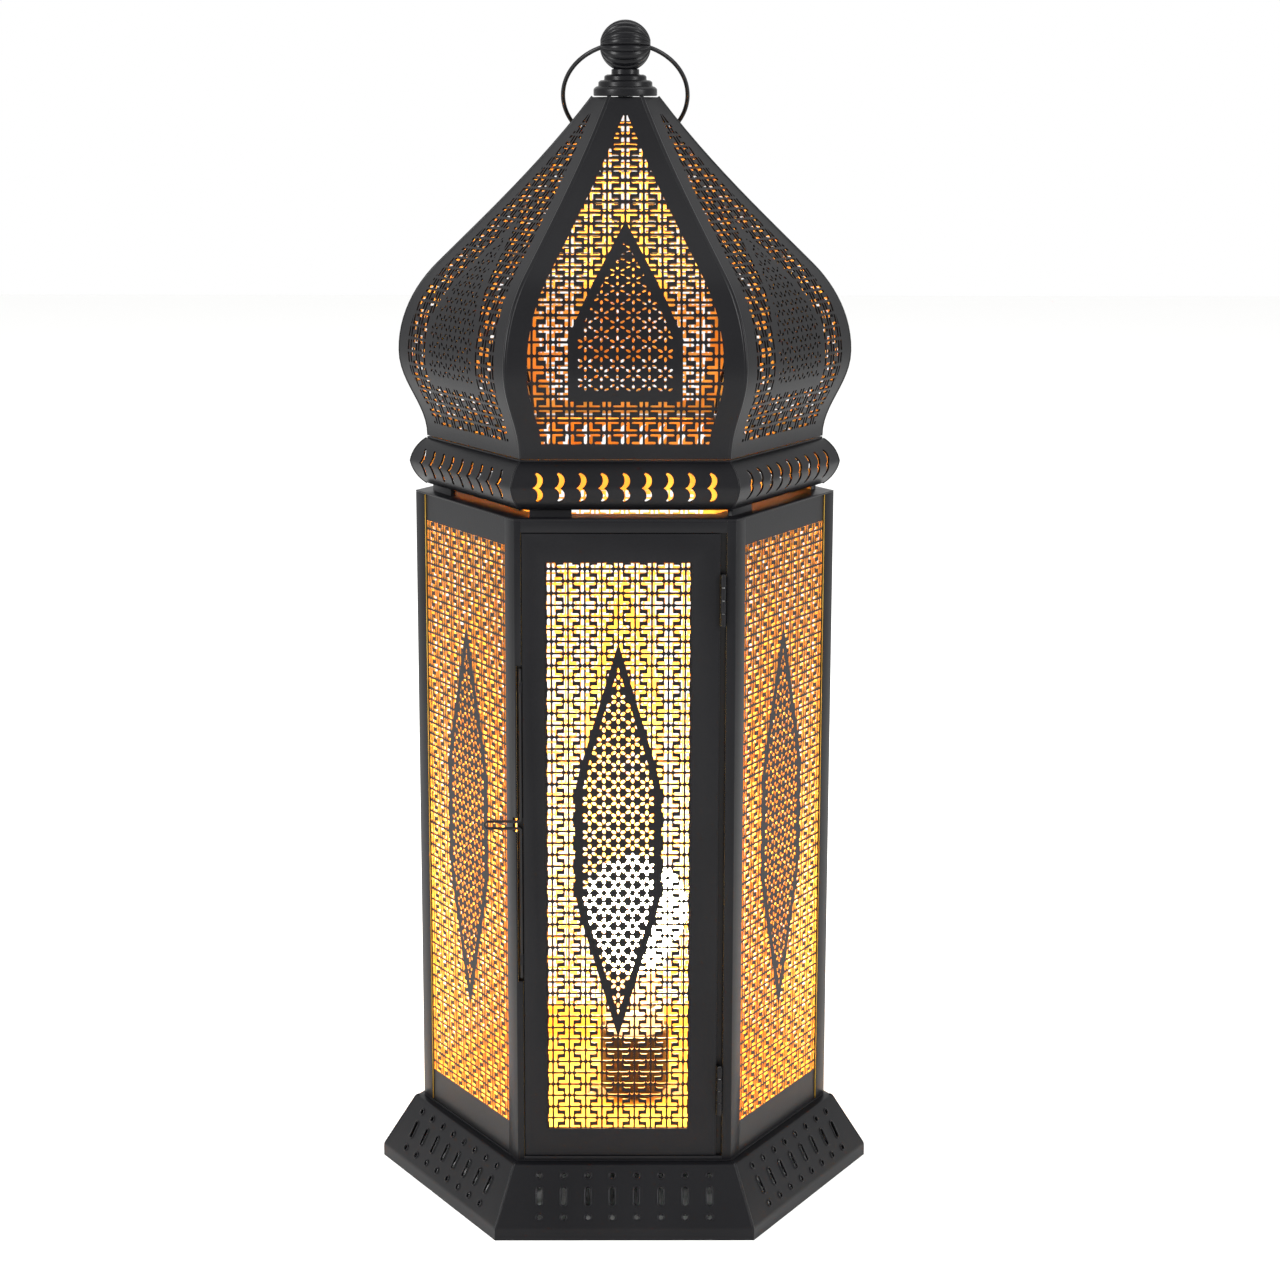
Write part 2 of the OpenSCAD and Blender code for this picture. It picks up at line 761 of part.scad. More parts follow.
module bulb_cap() {
    tip_h = 3;
    color("#c8c8c4") at_lamp() {
        upright(cap_e27_r, bulb_z + tip_h, glass_z);
        translate([0, 0, bulb_z]) cylinder(h = tip_h, r1 = cap_e27_r / 2, r2 = cap_e27_r);
    }
}

// Outline of the bulb from its cap to its top, with a neck that sweeps into the globe
function globe_pt(a, r) = [r * cos(a), globe_z + r * sin(a)];
join_a = -36;                           // where the neck meets the globe
neck_pull = 14;                         // handles of the neck's sweep
join_pull = 10;
function bulb_line(r, neck, foot_z) = concat(
    stretch([[neck, foot_z], [neck, glass_z + neck_pull],
        globe_pt(join_a, r) + join_pull * dir(join_a - 90), globe_pt(join_a, r)], 8),
    [for (a = [join_a + 9:9:90]) globe_pt(a, r)]);

module bulb_glass() {
    neck_step = 0.6;                    // how much slimmer the glass is than the cap
    neck = cap_e27_r - neck_step;
    color("#fff0c8", 0.5) at_lamp() rotate_extrude() difference() {
        polygon(concat(bulb_line(globe_r, neck, glass_z), [[0, glass_z]]));
        polygon(concat(bulb_line(globe_r - glass_t, neck - glass_t, glass_z + glass_t),
            [[0, glass_z + glass_t]]));
    }
}

// Glass stem and four filament sticks
module bulb_filament() {
    stem_r = 3;
    stem_down = 8;                      // from the globe's middle down to the stem's top
    stem_top = globe_z - stem_down;
    stick_r = 0.9;
    wire_t = 1;                         // the wires that hold the sticks
    stick_x = 7;
    stick_reach = 16;                   // from the globe's middle up, and down from the stem's top
    color("#ffd27a") at_lamp() {
        upright(stem_r, glass_z + glass_t, stem_top);
        for (i = [0:3]) rotate([0, 0, 45 + 90 * i]) {
            upright(stick_r, stem_top - stick_reach, globe_z + stick_reach, stick_x);
            translate([0, -wire_t / 2, stem_top - stick_reach]) cube([stick_x, wire_t, wire_t]);
        }
    }
}

module cable_grommet() {
    lip = 1.5;
    y = -face + sheet_t;
    color("#111112") to_side(3) translate([0, y, cable_z]) rotate([-90, 0, 0]) difference() {
        union() {
            translate([0, 0, -sheet_t]) cylinder(h = sheet_t, r = cable_r + grommet_wall + lip);
            cylinder(h = panel_t, r = cable_r + grommet_wall);
            translate([0, 0, panel_t]) cylinder(h = lip, r = cable_r + grommet_wall + lip);
        }
        translate([0, 0, -sheet_t - cut]) cylinder(h = sheet_t + panel_t + lip + 2 * cut, r = cable_r);
    }
}

skirt_side(0);  // skirt_front
skirt_side(1);  // skirt_front_right
skirt_side(2);  // skirt_rear_right
skirt_side(3);  // skirt_rear
skirt_side(4);  // skirt_rear_left
skirt_side(5);  // skirt_front_left
floor_plate();
post_front_right();
corner_post(1);  // post_right
corner_post(2);  // post_rear_right
corner_post(3);  // post_rear_left
corner_post(4);  // post_left
post_front_left();
side_panel(1);  // panel_front_right
side_panel(2);  // panel_rear_right
panel_rear();
side_panel(4);  // panel_rear_left
side_panel(5);  // panel_front_left
door_surround();
top_rim();
collar_side(0);  // collar_front
collar_side(1);  // collar_front_right
collar_side(2);  // collar_rear_right
collar_side(3);  // collar_rear
collar_side(4);  // collar_rear_left
collar_side(5);  // collar_front_left
dome_ring();
petal(0);  // petal_front
petal(1);  // petal_front_right
petal(2);  // petal_rear_right
petal(3);  // petal_rear
petal(4);  // petal_rear_left
petal(5);  // petal_front_left
crown_plate();
finial_cap();
finial_ball();
finial_rod();
rod_nut();
carry_ring();
door_frame();
door_panel();
door_leaf(hinge_z[1]);  // hinge_upper_door_leaf
door_leaf(hinge_z[0]);  // hinge_lower_door_leaf
post_leaf(hinge_z[1]);  // hinge_upper_post_leaf
post_leaf(hinge_z[0]);  // hinge_lower_post_leaf
hinge_pin(hinge_z[1]);  // hinge_upper_pin
hinge_pin(hinge_z[0]);  // hinge_lower_pin
latch_eyes();
latch_wire();
lampholder_foot();
lampholder_shell();
lampholder_core();
lampholder_thread();
lampholder_screws();
bulb_cap();
bulb_glass();
bulb_filament();
cable_grommet();
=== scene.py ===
# Moroccan floor lantern: black powder-coated sheet steel, gold inside, lit by a warm bulb.
from math import asin, atan2, cos, hypot, pi, radians, sin, sqrt, tan

import bmesh
import bpy
from mathutils import Matrix, Vector
from mathutils.geometry import delaunay_2d_cdt, interpolate_bezier


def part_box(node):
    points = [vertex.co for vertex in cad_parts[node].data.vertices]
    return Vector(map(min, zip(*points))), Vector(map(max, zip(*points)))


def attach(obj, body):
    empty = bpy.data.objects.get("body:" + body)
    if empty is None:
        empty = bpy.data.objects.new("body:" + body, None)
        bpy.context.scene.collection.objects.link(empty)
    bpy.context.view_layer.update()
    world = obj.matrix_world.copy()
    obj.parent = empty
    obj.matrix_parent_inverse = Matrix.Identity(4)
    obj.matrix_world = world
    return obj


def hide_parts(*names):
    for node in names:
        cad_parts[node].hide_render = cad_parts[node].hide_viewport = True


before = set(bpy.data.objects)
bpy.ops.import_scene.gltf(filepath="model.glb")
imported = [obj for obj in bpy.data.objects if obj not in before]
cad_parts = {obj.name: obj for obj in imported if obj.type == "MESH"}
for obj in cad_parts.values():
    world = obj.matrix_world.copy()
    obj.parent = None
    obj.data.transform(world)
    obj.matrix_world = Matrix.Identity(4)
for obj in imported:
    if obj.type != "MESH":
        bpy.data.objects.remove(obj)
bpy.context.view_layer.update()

mm = 0.001
flat = cos(radians(30))     # apothem of a hexagon with corners at radius 1
halfPerApothem = tan(radians(30))
sideNames = ["front", "front_right", "rear_right", "rear", "rear_left", "front_left"]
shell = "lantern_body"
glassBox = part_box("bulb_glass")


# Small tools

def hexToLinear(code):
    channels = [int(code[i:i + 2], 16) / 255 for i in (1, 3, 5)]
    return [c / 12.92 if c <= 0.04045 else ((c + 0.055) / 1.055) ** 2.4 for c in channels] + [1.0]


def addNode(tree, kind, settings=None, inputs=None, links=None):
    # settings are the node's own properties, inputs plain values by socket, and links
    # (node, output) pairs by socket
    node = tree.nodes.new(kind)
    for key, value in (settings or {}).items():
        setattr(node, key, value)
    for key, value in (inputs or {}).items():
        node.inputs[key].default_value = value
    for key, (source, output) in (links or {}).items():
        tree.links.new(source.outputs[output], node.inputs[key])
    return node


def colourRamp(tree, shader, source, dark, bright, positions, target="Base Color"):
    # two colours spread over a plain value, joined to the shader's target socket
    ramp = addNode(tree, "ShaderNodeValToRGB", links={"Fac": source})
    for stop, position, code in zip(ramp.color_ramp.elements, positions, (dark, bright)):
        stop.position = position
        stop.color = hexToLinear(code)
    tree.links.new(ramp.outputs["Color"], shader.inputs[target])


def fineBump(tree, shader, source, strength, depth):
    bump = addNode(tree, "ShaderNodeBump", inputs={"Strength": strength, "Distance": depth * mm},
                   links={"Height": source})
    tree.links.new(bump.outputs["Normal"], shader.inputs["Normal"])


def newMaterial(name, shaderInputs):
    material = bpy.data.materials.new(name)
    material.use_nodes = True
    tree = material.node_tree
    shader = tree.nodes["Principled BSDF"]
    for key, value in shaderInputs.items():
        shader.inputs[key].default_value = value
    return material, tree, shader


def turned(degrees):
    return Matrix.Rotation(radians(degrees), 4, "Z")


def shadeByAngle(bm, degrees=32):
    # 0 degrees leaves every face flat
    limit = radians(degrees)
    for side in bm.faces:
        side.smooth = degrees > 0
    for edge in bm.edges:
        edge.smooth = len(edge.link_faces) != 2 or edge.calc_face_angle(0) < limit


def meshObject(name, bm, materials, degrees=32):
    shadeByAngle(bm, degrees)
    mesh = bpy.data.meshes.new(name)
    bm.to_mesh(mesh)
    bm.free()
    for material in materials:
        mesh.materials.append(material)
    piece = bpy.data.objects.new(name, mesh)
    bpy.context.scene.collection.objects.link(piece)
    return piece


def place(piece, body, slot, *nodes):
    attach(piece, body)
    if nodes:
        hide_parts(*nodes)
    return piece


def copiesRound(piece, names, turns):
    # the piece itself is the first of the copies round the axis
    made = [piece]
    for name in names[1:]:
        copy = piece.copy()
        copy.data = piece.data.copy()
        bpy.context.scene.collection.objects.link(copy)
        made.append(copy)
    for copy, name, degrees in zip(made, names, turns):
        copy.name = name
        copy.data.name = name
        copy.data.transform(turned(degrees))
    return made


def sideCopies(piece, prefix):
    # one copy for each side, paired with the side's name
    return zip(copiesRound(piece, [prefix + n for n in sideNames], range(0, 360, 60)), sideNames)


def cornerCopies(piece, slot):
    names = ["%s_%d" % (piece.name, k + 1) for k in range(6)]
    for copy in copiesRound(piece, names, range(0, 360, 60)):
        place(copy, shell, slot)


def arcPoints(x, y, r, start, end, steps):
    turns = [start + (end - start) * i / steps for i in range(steps + 1)]
    return [Vector((x + r * cos(t), y + r * sin(t))) for t in turns]


def tubeAlong(name, lines, radius, material, closed=False, sides=3):
    # round bar along each line of points, made a mesh with closed ends
    curve = bpy.data.curves.new(name, "CURVE")
    curve.dimensions = "3D"
    curve.bevel_depth = radius
    curve.bevel_resolution = sides
    curve.use_fill_caps = not closed
    for line in lines:
        spline = curve.splines.new("POLY")
        spline.points.add(len(line) - 1)
        spline.points.foreach_set("co", [c for p in line for c in (*p, 1)])
        spline.use_cyclic_u = closed
    holder = bpy.data.objects.new(name, curve)
    bm = bmesh.new()
    bm.from_mesh(bpy.data.meshes.new_from_object(holder))
    bpy.data.objects.remove(holder)
    bmesh.ops.remove_doubles(bm, verts=bm.verts, dist=radius * 0.01)
    bmesh.ops.recalc_face_normals(bm, faces=bm.faces)
    return meshObject(name, bm, [material], 50)


def lathe(name, outline, materials, x=0, y=0, steps=64, degrees=32):
    # outline is (radius, height) from bottom to top, turned about an upright axis
    bm = bmesh.new()
    chain = [bm.verts.new((r, 0, z)) for r, z in outline]
    edges = [bm.edges.new(pair) for pair in zip(chain, chain[1:])]
    bmesh.ops.spin(bm, geom=chain + edges, cent=(0, 0, 0), axis=(0, 0, 1), angle=2 * pi,
                   steps=steps, use_merge=True)
    bmesh.ops.remove_doubles(bm, verts=bm.verts, dist=1e-6)
    bmesh.ops.recalc_face_normals(bm, faces=bm.faces)
    bmesh.ops.translate(bm, verts=bm.verts, vec=(x, y, 0))
    return meshObject(name, bm, materials, degrees)


def softCopy(node, material, slot, body, edge=0.25 * mm):
    # the CAD piece with its edges rounded, as folded and cut sheet has them
    bm = bmesh.new()
    bm.from_mesh(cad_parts[node].data)
    bmesh.ops.remove_doubles(bm, verts=bm.verts, dist=1e-6)
    bmesh.ops.dissolve_limit(bm, angle_limit=radians(1), verts=bm.verts, edges=bm.edges)
    sharp = [e for e in bm.edges if len(e.link_faces) == 2 and e.calc_face_angle(0) > radians(30)]
    bmesh.ops.bevel(bm, geom=sharp, offset=edge, segments=2, profile=0.5, affect="EDGES",
                    clamp_overlap=True, material=-1)
    bmesh.ops.triangulate(bm, faces=[f for f in bm.faces if len(f.verts) > 4])
    piece = meshObject(node + "_finished", bm, [material])
    return place(piece, body, slot, node)


# margin is the coat left bare of lacquer along the floor plate's edge, middleRoom keeps the
# lacquer off pieces near the axis
lacquerShape = {"facing": 0.4, "middleRoom": 50 * mm, "upward": 0.9, "margin": 3 * mm}


def goldInside(piece):
    # faces that look towards the middle of the lantern get the inner lacquer
    piece.data.materials.append(gold)
    for side in piece.data.polygons:
        across = Vector((side.center.x, side.center.y, 0))
        inward = -side.normal.dot(across.normalized())
        if inward > lacquerShape["facing"] and across.length > lacquerShape["middleRoom"]:
            side.material_index = 1


def goldOnTop(piece):
    # the floor plate's top is lacquered like the walls, as far as the panels
    bm = bmesh.new()
    bm.from_mesh(piece.data)
    top = [side for side in bm.faces if side.normal.z > lacquerShape["upward"]]
    bmesh.ops.inset_region(bm, faces=top, thickness=lacquerShape["margin"], use_even_offset=True)
    for side in top:
        side.material_index = 1
    bm.to_mesh(piece.data)
    bm.free()


# Finishes

powderCoatLook = {
    "colour": "#08080a", "lighter": "#0e0e10", "roughness": 0.36, "specular": 0.12,
    "grain": 0.9, "grainDepth": 0.05, "patch": 60,      # mm
    "grainShare": 0.45, "stops": (0.45, 0.95), "bump": 0.5,
}


def powderCoat(name, look):
    # Polyester powder coat, sprayed and baked: near black, soft wide gloss, fine orange peel.
    # The real grain is about 0.3 mm and is drawn three times as coarse so that it shows.
    material, tree, shader = newMaterial(name, {"Roughness": look["roughness"],
                                                "Specular IOR Level": look["specular"]})
    place3d = addNode(tree, "ShaderNodeTexCoord")
    patches = addNode(tree, "ShaderNodeTexNoise", links={"Vector": (place3d, "Object")},
                      inputs={"Scale": 1000 / look["patch"], "Detail": 3.0})
    grain = addNode(tree, "ShaderNodeTexNoise", links={"Vector": (place3d, "Object")},
                    inputs={"Scale": 1000 / look["grain"], "Detail": 2.0})
    both = addNode(tree, "ShaderNodeMath", {"operation": "MULTIPLY_ADD"}, {1: look["grainShare"]},
                   {0: (grain, "Fac"), 2: (patches, "Fac")})
    colourRamp(tree, shader, (both, 0), look["colour"], look["lighter"], look["stops"])
    fineBump(tree, shader, (grain, "Fac"), look["bump"], look["grainDepth"])
    return material


goldLook = {
    "deep": "#c8942f", "bright": "#f2cb66", "stops": (0.3, 0.62), "metallic": 0.25,
    "roughness": 0.45, "bump": 0.3, "patch": 30, "depth": 0.1,      # mm
}


def goldPaint(look):
    # Metallic gold lacquer sprayed on the inner faces: warm, half glossy, a little uneven
    material, tree, shader = newMaterial("goldLacquer", {
        "Metallic": look["metallic"], "Roughness": look["roughness"]})
    place3d = addNode(tree, "ShaderNodeTexCoord")
    patches = addNode(tree, "ShaderNodeTexNoise", links={"Vector": (place3d, "Object")},
                      inputs={"Scale": 1000 / look["patch"], "Detail": 5.0})
    colourRamp(tree, shader, (patches, "Fac"), look["deep"], look["bright"], look["stops"])
    fineBump(tree, shader, (patches, "Fac"), look["bump"], look["depth"])
    return material


# upright is how much longer the scratches are along Z
metalLook = {"upright": 0.2, "stops": (0.35, 0.7), "bump": 0.3, "depth": 0.02}


def wornMetal(name, dark, bright, roughness, scratch):
    # Bare or plated metal: fine drawn scratches that break up its gloss
    material, tree, shader = newMaterial(name, {"Metallic": 1.0, "Roughness": roughness})
    place3d = addNode(tree, "ShaderNodeTexCoord")
    stretched = addNode(tree, "ShaderNodeMapping", inputs={"Scale": (1.0, 1.0, metalLook["upright"])},
                        links={"Vector": (place3d, "Object")})
    streaks = addNode(tree, "ShaderNodeTexNoise", inputs={"Scale": 1000 / scratch, "Detail": 4.0},
                      links={"Vector": (stretched, "Vector")})
    colourRamp(tree, shader, (streaks, "Fac"), dark, bright, metalLook["stops"])
    fineBump(tree, shader, (streaks, "Fac"), metalLook["bump"], metalLook["depth"])
    return material


# neckDown and globeDown are the depths under the bulb's top between which its glow fades
bulbLook = {"glass": "#fff2dc", "glow": "#ffc986", "neckGlow": "#1c0e04", "strength": 210.0,
            "roughness": 0.25, "neckDown": 0.066, "globeDown": 0.05}


def litGlass(name, look):
    # Frosted glass of a lit warm bulb, which gives the lantern's light: the globe glows and the
    # neck is dim
    material, tree, shader = newMaterial(name, {
        "Base Color": hexToLinear(look["glass"]), "Roughness": look["roughness"],
        "Emission Strength": look["strength"]})
    place3d = addNode(tree, "ShaderNodeTexCoord")
    parts = addNode(tree, "ShaderNodeSeparateXYZ", links={"Vector": (place3d, "Object")})
    top = glassBox[1].z
    upTheBulb = addNode(tree, "ShaderNodeMapRange", links={"Value": (parts, "Z")}, inputs={
        "From Min": top - look["neckDown"], "From Max": top - look["globeDown"]})
    colourRamp(tree, shader, (upTheBulb, "Result"), look["neckGlow"], look["glow"], (0.0, 1.0),
               "Emission Color")
    return material


coat = powderCoat("blackPowderCoat", powderCoatLook)
smoothCoat = powderCoat("blackSatinCoat", dict(powderCoatLook, roughness=0.32, grainDepth=0.02))
wireCoat = powderCoat("blackWireEnamel", dict(powderCoatLook, colour="#121213", lighter="#1c1c1d",
                                              roughness=0.3, grainDepth=0.02))
gold = goldPaint(goldLook)
zinc = wornMetal("zincPlatedSteel", "#8d8f90", "#c4c6c6", 0.35, 3)
brass = wornMetal("screwShellBrass", "#a8843c", "#dab766", 0.3, 4)
capMetal = wornMetal("bulbCapAluminium", "#a9a9a6", "#d8d8d4", 0.3, 4)
phenolic = powderCoat("blackPhenolic", dict(powderCoatLook, colour="#141312", lighter="#1e1c1a",
                                            roughness=0.35, grainDepth=0.015))
rubber = powderCoat("blackRubber", dict(powderCoatLook, colour="#141414", lighter="#1d1d1d",
                                        roughness=0.75))
porcelain = powderCoat("whitePorcelain", dict(powderCoatLook, colour="#dcd8cc", lighter="#ece8de",
                                              roughness=0.2, grainDepth=0.01))
bulbGlass = litGlass("litBulbGlass", bulbLook)
filament = litGlass("litFilament", bulbLook)
# Cut edges of the flat panels, on which some of the lacquer has settled
cutEdge = powderCoat("dustedCutEdge", dict(powderCoatLook, colour="#94692c", lighter="#b3853c"))
print("finishes made")


# Punched patterns, in mm on a flat sheet

# Two bent slots in each cell, turned half round from each other; cells alternate like a chessboard.
keyPanel = {"cellWidth": 8.8, "cellHeight": 6.46, "slot": 1.7, "edge": 0.5, "bridge": 0.8,
            "nick": 0.2}        # nick is the cut-off bend as a share of the slot
keyDome = dict(keyPanel, cellWidth=9.6, cellHeight=7.13, slot=1.65, edge=0.6, bridge=1.0)
# Six oval petals round each centre; columns of flowers alternate by half a step.
flowerPanel = {"columnStep": 7.64, "step": 9.25, "reach": 2.75, "petal": (1.35, 0.88), "oddUp": 0.0}
flowerDome = dict(flowerPanel, columnStep=8.2, step=10.1, reach=3.0, petal=(1.35, 0.7))
insideOutline = 1       # delaunay_2d_cdt's mode that fills an outline with triangles
smallestHole = 0.55     # square mm; smaller leftovers at a border are not punched
shortestEdge = 0.06     # mm
nearest = 1e-5          # mm; closer points are one point
sheetFacing = 0.7       # a face that looks more along the sheet's normal than this is its skin


def loopArea(loop):
    # positive where the loop runs counter-clockwise
    return sum(a[0] * b[1] - b[0] * a[1] for a, b in zip(loop, loop[1:] + loop[:1])) / 2


def cutLoop(loop, point, normal):
    # the part of a loop on the side that normal points to
    kept = []
    for a, b in zip(loop, loop[1:] + loop[:1]):
        sideA = (a - point).dot(normal)
        sideB = (b - point).dot(normal)
        if sideA >= 0:
            kept.append(a)
        if sideA * sideB < 0:
            kept.append(a.lerp(b, sideA / (sideA - sideB)))
    return kept


def cutHole(hole, point, normal):
    # a hole is its outline, then the arms that it falls into when its bend is cut away
    outline, arms = hole[0], hole[1:]
    inside = [(p - point).dot(normal) >= 0 for p in outline]
    if all(inside):
        return [hole]
    if not any(inside):
        return []
    changes = sum(a != b for a, b in zip(inside, inside[1:] + inside[:1]))
    if changes > 2 and arms:
        return [[piece] for piece in (cutLoop(arm, point, normal) for arm in arms) if piece]
    return [[cutLoop(outline, point, normal)] + [cutLoop(arm, point, normal) for arm in arms]]


def bentSlot(key):
    # outline of the slot in its cell's lower left corner, then its two arms
    w = key["slot"]
    r = w / 2
    e = key["edge"]
    right = key["cellWidth"] - e - w - key["bridge"]
    top = key["cellHeight"] - e
    nick = key["nick"] * w
    flatEnd = arcPoints(right - r, e + r, r, -pi / 2, pi / 2, 4)
    upEnd = arcPoints(e + r, top - r, r, 0, pi, 4)
    low, high = Vector((e + nick, e)), Vector((e, e + nick))
    corner = Vector((e + w, e + w))
    return [[low] + flatEnd + [corner] + upEnd + [high],
            [low] + flatEnd + [Vector((e, e + w)), high],
            [low, Vector((e + w, e))] + upEnd + [high]]


def keyHoles(key, width, low, high):
    wide, height = key["cellWidth"], key["cellHeight"]
    columns = int(width / 2 / wide) + 1
    holes = []
    for row in range(int(low // height), int(high // height) + 1):
        for column in range(-columns, columns):
            for half in (False, True):
                hole = []
                for loop in bentSlot(key):
                    if half:
                        loop = [Vector((wide - p.x, height - p.y)) for p in loop]
                    if (column + row) % 2:
                        loop = [Vector((wide - p.x, p.y)) for p in loop][::-1]
                    hole.append([p + Vector((column * wide, row * height)) for p in loop])
                holes.append(hole)
    return holes


def flowerHoles(flower, width, low, high, firstColumn=0.0):
    long, wide = flower["petal"]
    holes = []
    columns = int(width / 2 / flower["columnStep"]) + 2
    for column in range(-columns, columns + 1):
        x = (column + firstColumn) * flower["columnStep"]
        lift = flower["oddUp"] + (0 if column % 2 else flower["step"] / 2)
        for row in range(int(low // flower["step"]) - 1, int(high // flower["step"]) + 2):
            centre = Vector((x, row * flower["step"] + lift))
            for k in range(6):
                turn = Matrix.Rotation(radians(60 * k), 2)
                oval = [Vector((wide * sin(radians(a)), flower["reach"] + long * cos(radians(a))))
                        for a in range(0, 360, 36)]
                holes.append([[centre + turn @ p for p in oval]])
    return holes


def edgesOf(corners):
    # (point, inward normal) of each side of a convex outline given counter-clockwise
    lines = []
    for a, b in zip(corners, corners[1:] + corners[:1]):
        along = (Vector(b) - Vector(a)).normalized()
        lines.append((Vector(a), Vector((-along.y, along.x))))
    return lines


def middle(hole):
    return sum(hole[0], Vector((0, 0))) / len(hole[0])


def keepInside(holes, linesFor):
    kept = []
    for hole in holes:
        parts = [hole]
        for point, normal in linesFor(middle(hole)):
            parts = [cut for part in parts for cut in cutHole(part, point, normal)]
        kept += parts
    return kept


def keepOutside(holes, lines):
    kept = []
    for hole in holes:
        centre = middle(hole)
        point, normal = min(lines, key=lambda line: (centre - line[0]).dot(line[1]))
        kept += cutHole(hole, point, -normal)
    return kept


def insetLines(lines, depth):
    return [(point + normal * depth, normal) for point, normal in lines]


def tidyLoops(holes):
    loops = []
    for outline in (hole[0] for hole in holes):
        pairs = zip(outline, outline[1:] + outline[:1])
        loop = [p for p, q in pairs if (p - q).length > shortestEdge]
        if len(loop) > 2 and abs(loopArea(loop)) > smallestHole:
            loops.append(loop)
    return loops


def ovalLoop(x, y, wide, high, points=20):
    # round hole, or a slot with round ends where wide and high differ
    r = min(wide, high) / 2
    dx, dy = wide / 2 - r, high / 2 - r
    loop = []
    for i in range(points):
        a = 2 * pi * (i + 0.5) / points
        loop.append(Vector((x + r * cos(a) + (dx if cos(a) > 0 else -dx),
                            y + r * sin(a) + (dy if sin(a) > 0 else -dy))))
    return loop


def flatSheet(outline, loops):
    # one layer of faces between the outline and its holes
    points, rings = [], []
    for loop in [outline] + loops:
        rings.append(range(len(points), len(points) + len(loop)))
        points += [Vector(p) for p in (loop if loopArea(loop) > 0 else loop[::-1])]
    filled = delaunay_2d_cdt(points, [], rings, insideOutline, nearest)
    bm = bmesh.new()
    corners = [bm.verts.new((p.x, p.y, 0)) for p in filled[0]]
    for triangle, owners in zip(filled[2], filled[5]):
        if list(owners) == [0]:
            bm.faces.new([corners[i] for i in triangle])
    bmesh.ops.delete(bm, geom=[v for v in bm.verts if not v.link_faces], context="VERTS")
    bm.normal_update()
    return bm


def lineLengths(line):
    lengths = [0.0]
    for a, b in zip(line, line[1:]):
        lengths.append(lengths[-1] + hypot(b[0] - a[0], b[1] - a[1]))
    return lengths


def pointAt(line, lengths, s):
    i = 0
    while i < len(line) - 2 and s > lengths[i + 1]:
        i += 1
    t = (s - lengths[i]) / (lengths[i + 1] - lengths[i])
    return (line[i][0] + t * (line[i + 1][0] - line[i][0]),
            line[i][1] + t * (line[i + 1][1] - line[i][1]))


def slopeAt(line, lengths, s):
    # direction of the line, blended over half of each stretch so that folds stay crisp
    i = 0
    while i < len(line) - 2 and s > lengths[i + 1]:
        i += 1
    ways = [(Vector(b) - Vector(a)).normalized() for a, b in zip(line, line[1:])]
    t = (s - lengths[i]) / (lengths[i + 1] - lengths[i])
    other = i + (1 if t > 0.5 else -1)
    if other < 0 or other >= len(ways):
        return ways[i]
    return ways[i].lerp(ways[other], abs(t - 0.5)).normalized()


def bentSheet(name, outline, loops, line, thickness, materials):
    # folds a flat sheet (x, length) onto a line of (apothem, height), facing -Y, and gives it
    # its thickness; materials are the outer face's with the cut edges and the inner face's
    bm = flatSheet(outline, loops)
    lengths = lineLengths(line)
    for s in lengths[1:-1]:
        bmesh.ops.bisect_plane(bm, geom=bm.verts[:] + bm.edges[:] + bm.faces[:], dist=1e-4,
                               plane_co=(0, s, 0), plane_no=(0, 1, 0))
    normals = []
    for vert in bm.verts:
        apothem, height = pointAt(line, lengths, vert.co.y)
        way = slopeAt(line, lengths, vert.co.y)
        normals.append(Vector((0, -way.y, -way.x)))
        vert.co = (vert.co.x * mm, -apothem * mm, height * mm)
    outer = bm.verts[:]
    rim = [edge for edge in bm.edges if edge.is_boundary]
    copied = bmesh.ops.duplicate(bm, geom=bm.verts[:] + bm.edges[:] + bm.faces[:])
    inner = {v: copied["vert_map"][v] for v in outer}
    for vert, normal in zip(outer, normals):
        inner[vert].co = vert.co - normal * thickness
    for side in [f for f in copied["geom"] if isinstance(f, bmesh.types.BMFace)]:
        side.normal_flip()
        side.material_index = 1
    for edge in rim:
        a, b = next((l.vert, l.link_loop_next.vert) for l in edge.link_loops)
        bm.faces.new((b, a, inner[a], inner[b]))
    bm.verts.index_update()
    facing = {vert.index: normal for vert, normal in zip(outer, normals)}
    facing.update({inner[vert].index: -normal for vert, normal in zip(outer, normals)})
    bm.normal_update()
    piece = meshObject(name, bm, materials, 180)
    shown = []
    for side in piece.data.polygons:
        for i in side.vertices:
            skin = abs(side.normal.dot(facing[i])) > sheetFacing
            shown.append(facing[i] if skin else side.normal.copy())
    piece.data.normals_split_custom_set(shown)
    return piece


def flatPiece(name, bm, thickness, materials):
    # materials are the outer face's, the inner face's and the cut edges'
    piece = meshObject(name, bm, materials, 0)
    skin = piece.modifiers.new("thickness", "SOLIDIFY")
    skin.thickness = thickness
    skin.offset = -1
    skin.use_even_offset = False
    skin.material_offset = 1
    skin.material_offset_rim = 2
    return piece


def mitredOutline(line, gap):
    # flat outline of a side whose ends are cut to meet its neighbours
    half = [(p[0] * halfPerApothem - gap, s) for p, s in zip(line, lineLengths(line))]
    return half + [(-x, s) for x, s in reversed(half)]


# Perforated side panels and door panel

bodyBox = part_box("floor_plate")
bodyRadius = bodyBox[1].x / mm
face = bodyRadius * flat
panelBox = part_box("panel_rear")
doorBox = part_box("door_panel")

panelShape = {
    "thickness": 0.8, "holesWidth": 93.0, "holesLow": 56.5, "holesHigh": 376.5,
    "doorHolesWidth": 75.5, "doorHolesLow": 56.5, "doorHolesHigh": 368.7,
    "middle": 216.9, "border": 3.8, "grommetHole": 5.5, "grommetUp": 9.0, "behind": 1.0,
    "flowersWidth": 60, "flowersReach": 110,
}
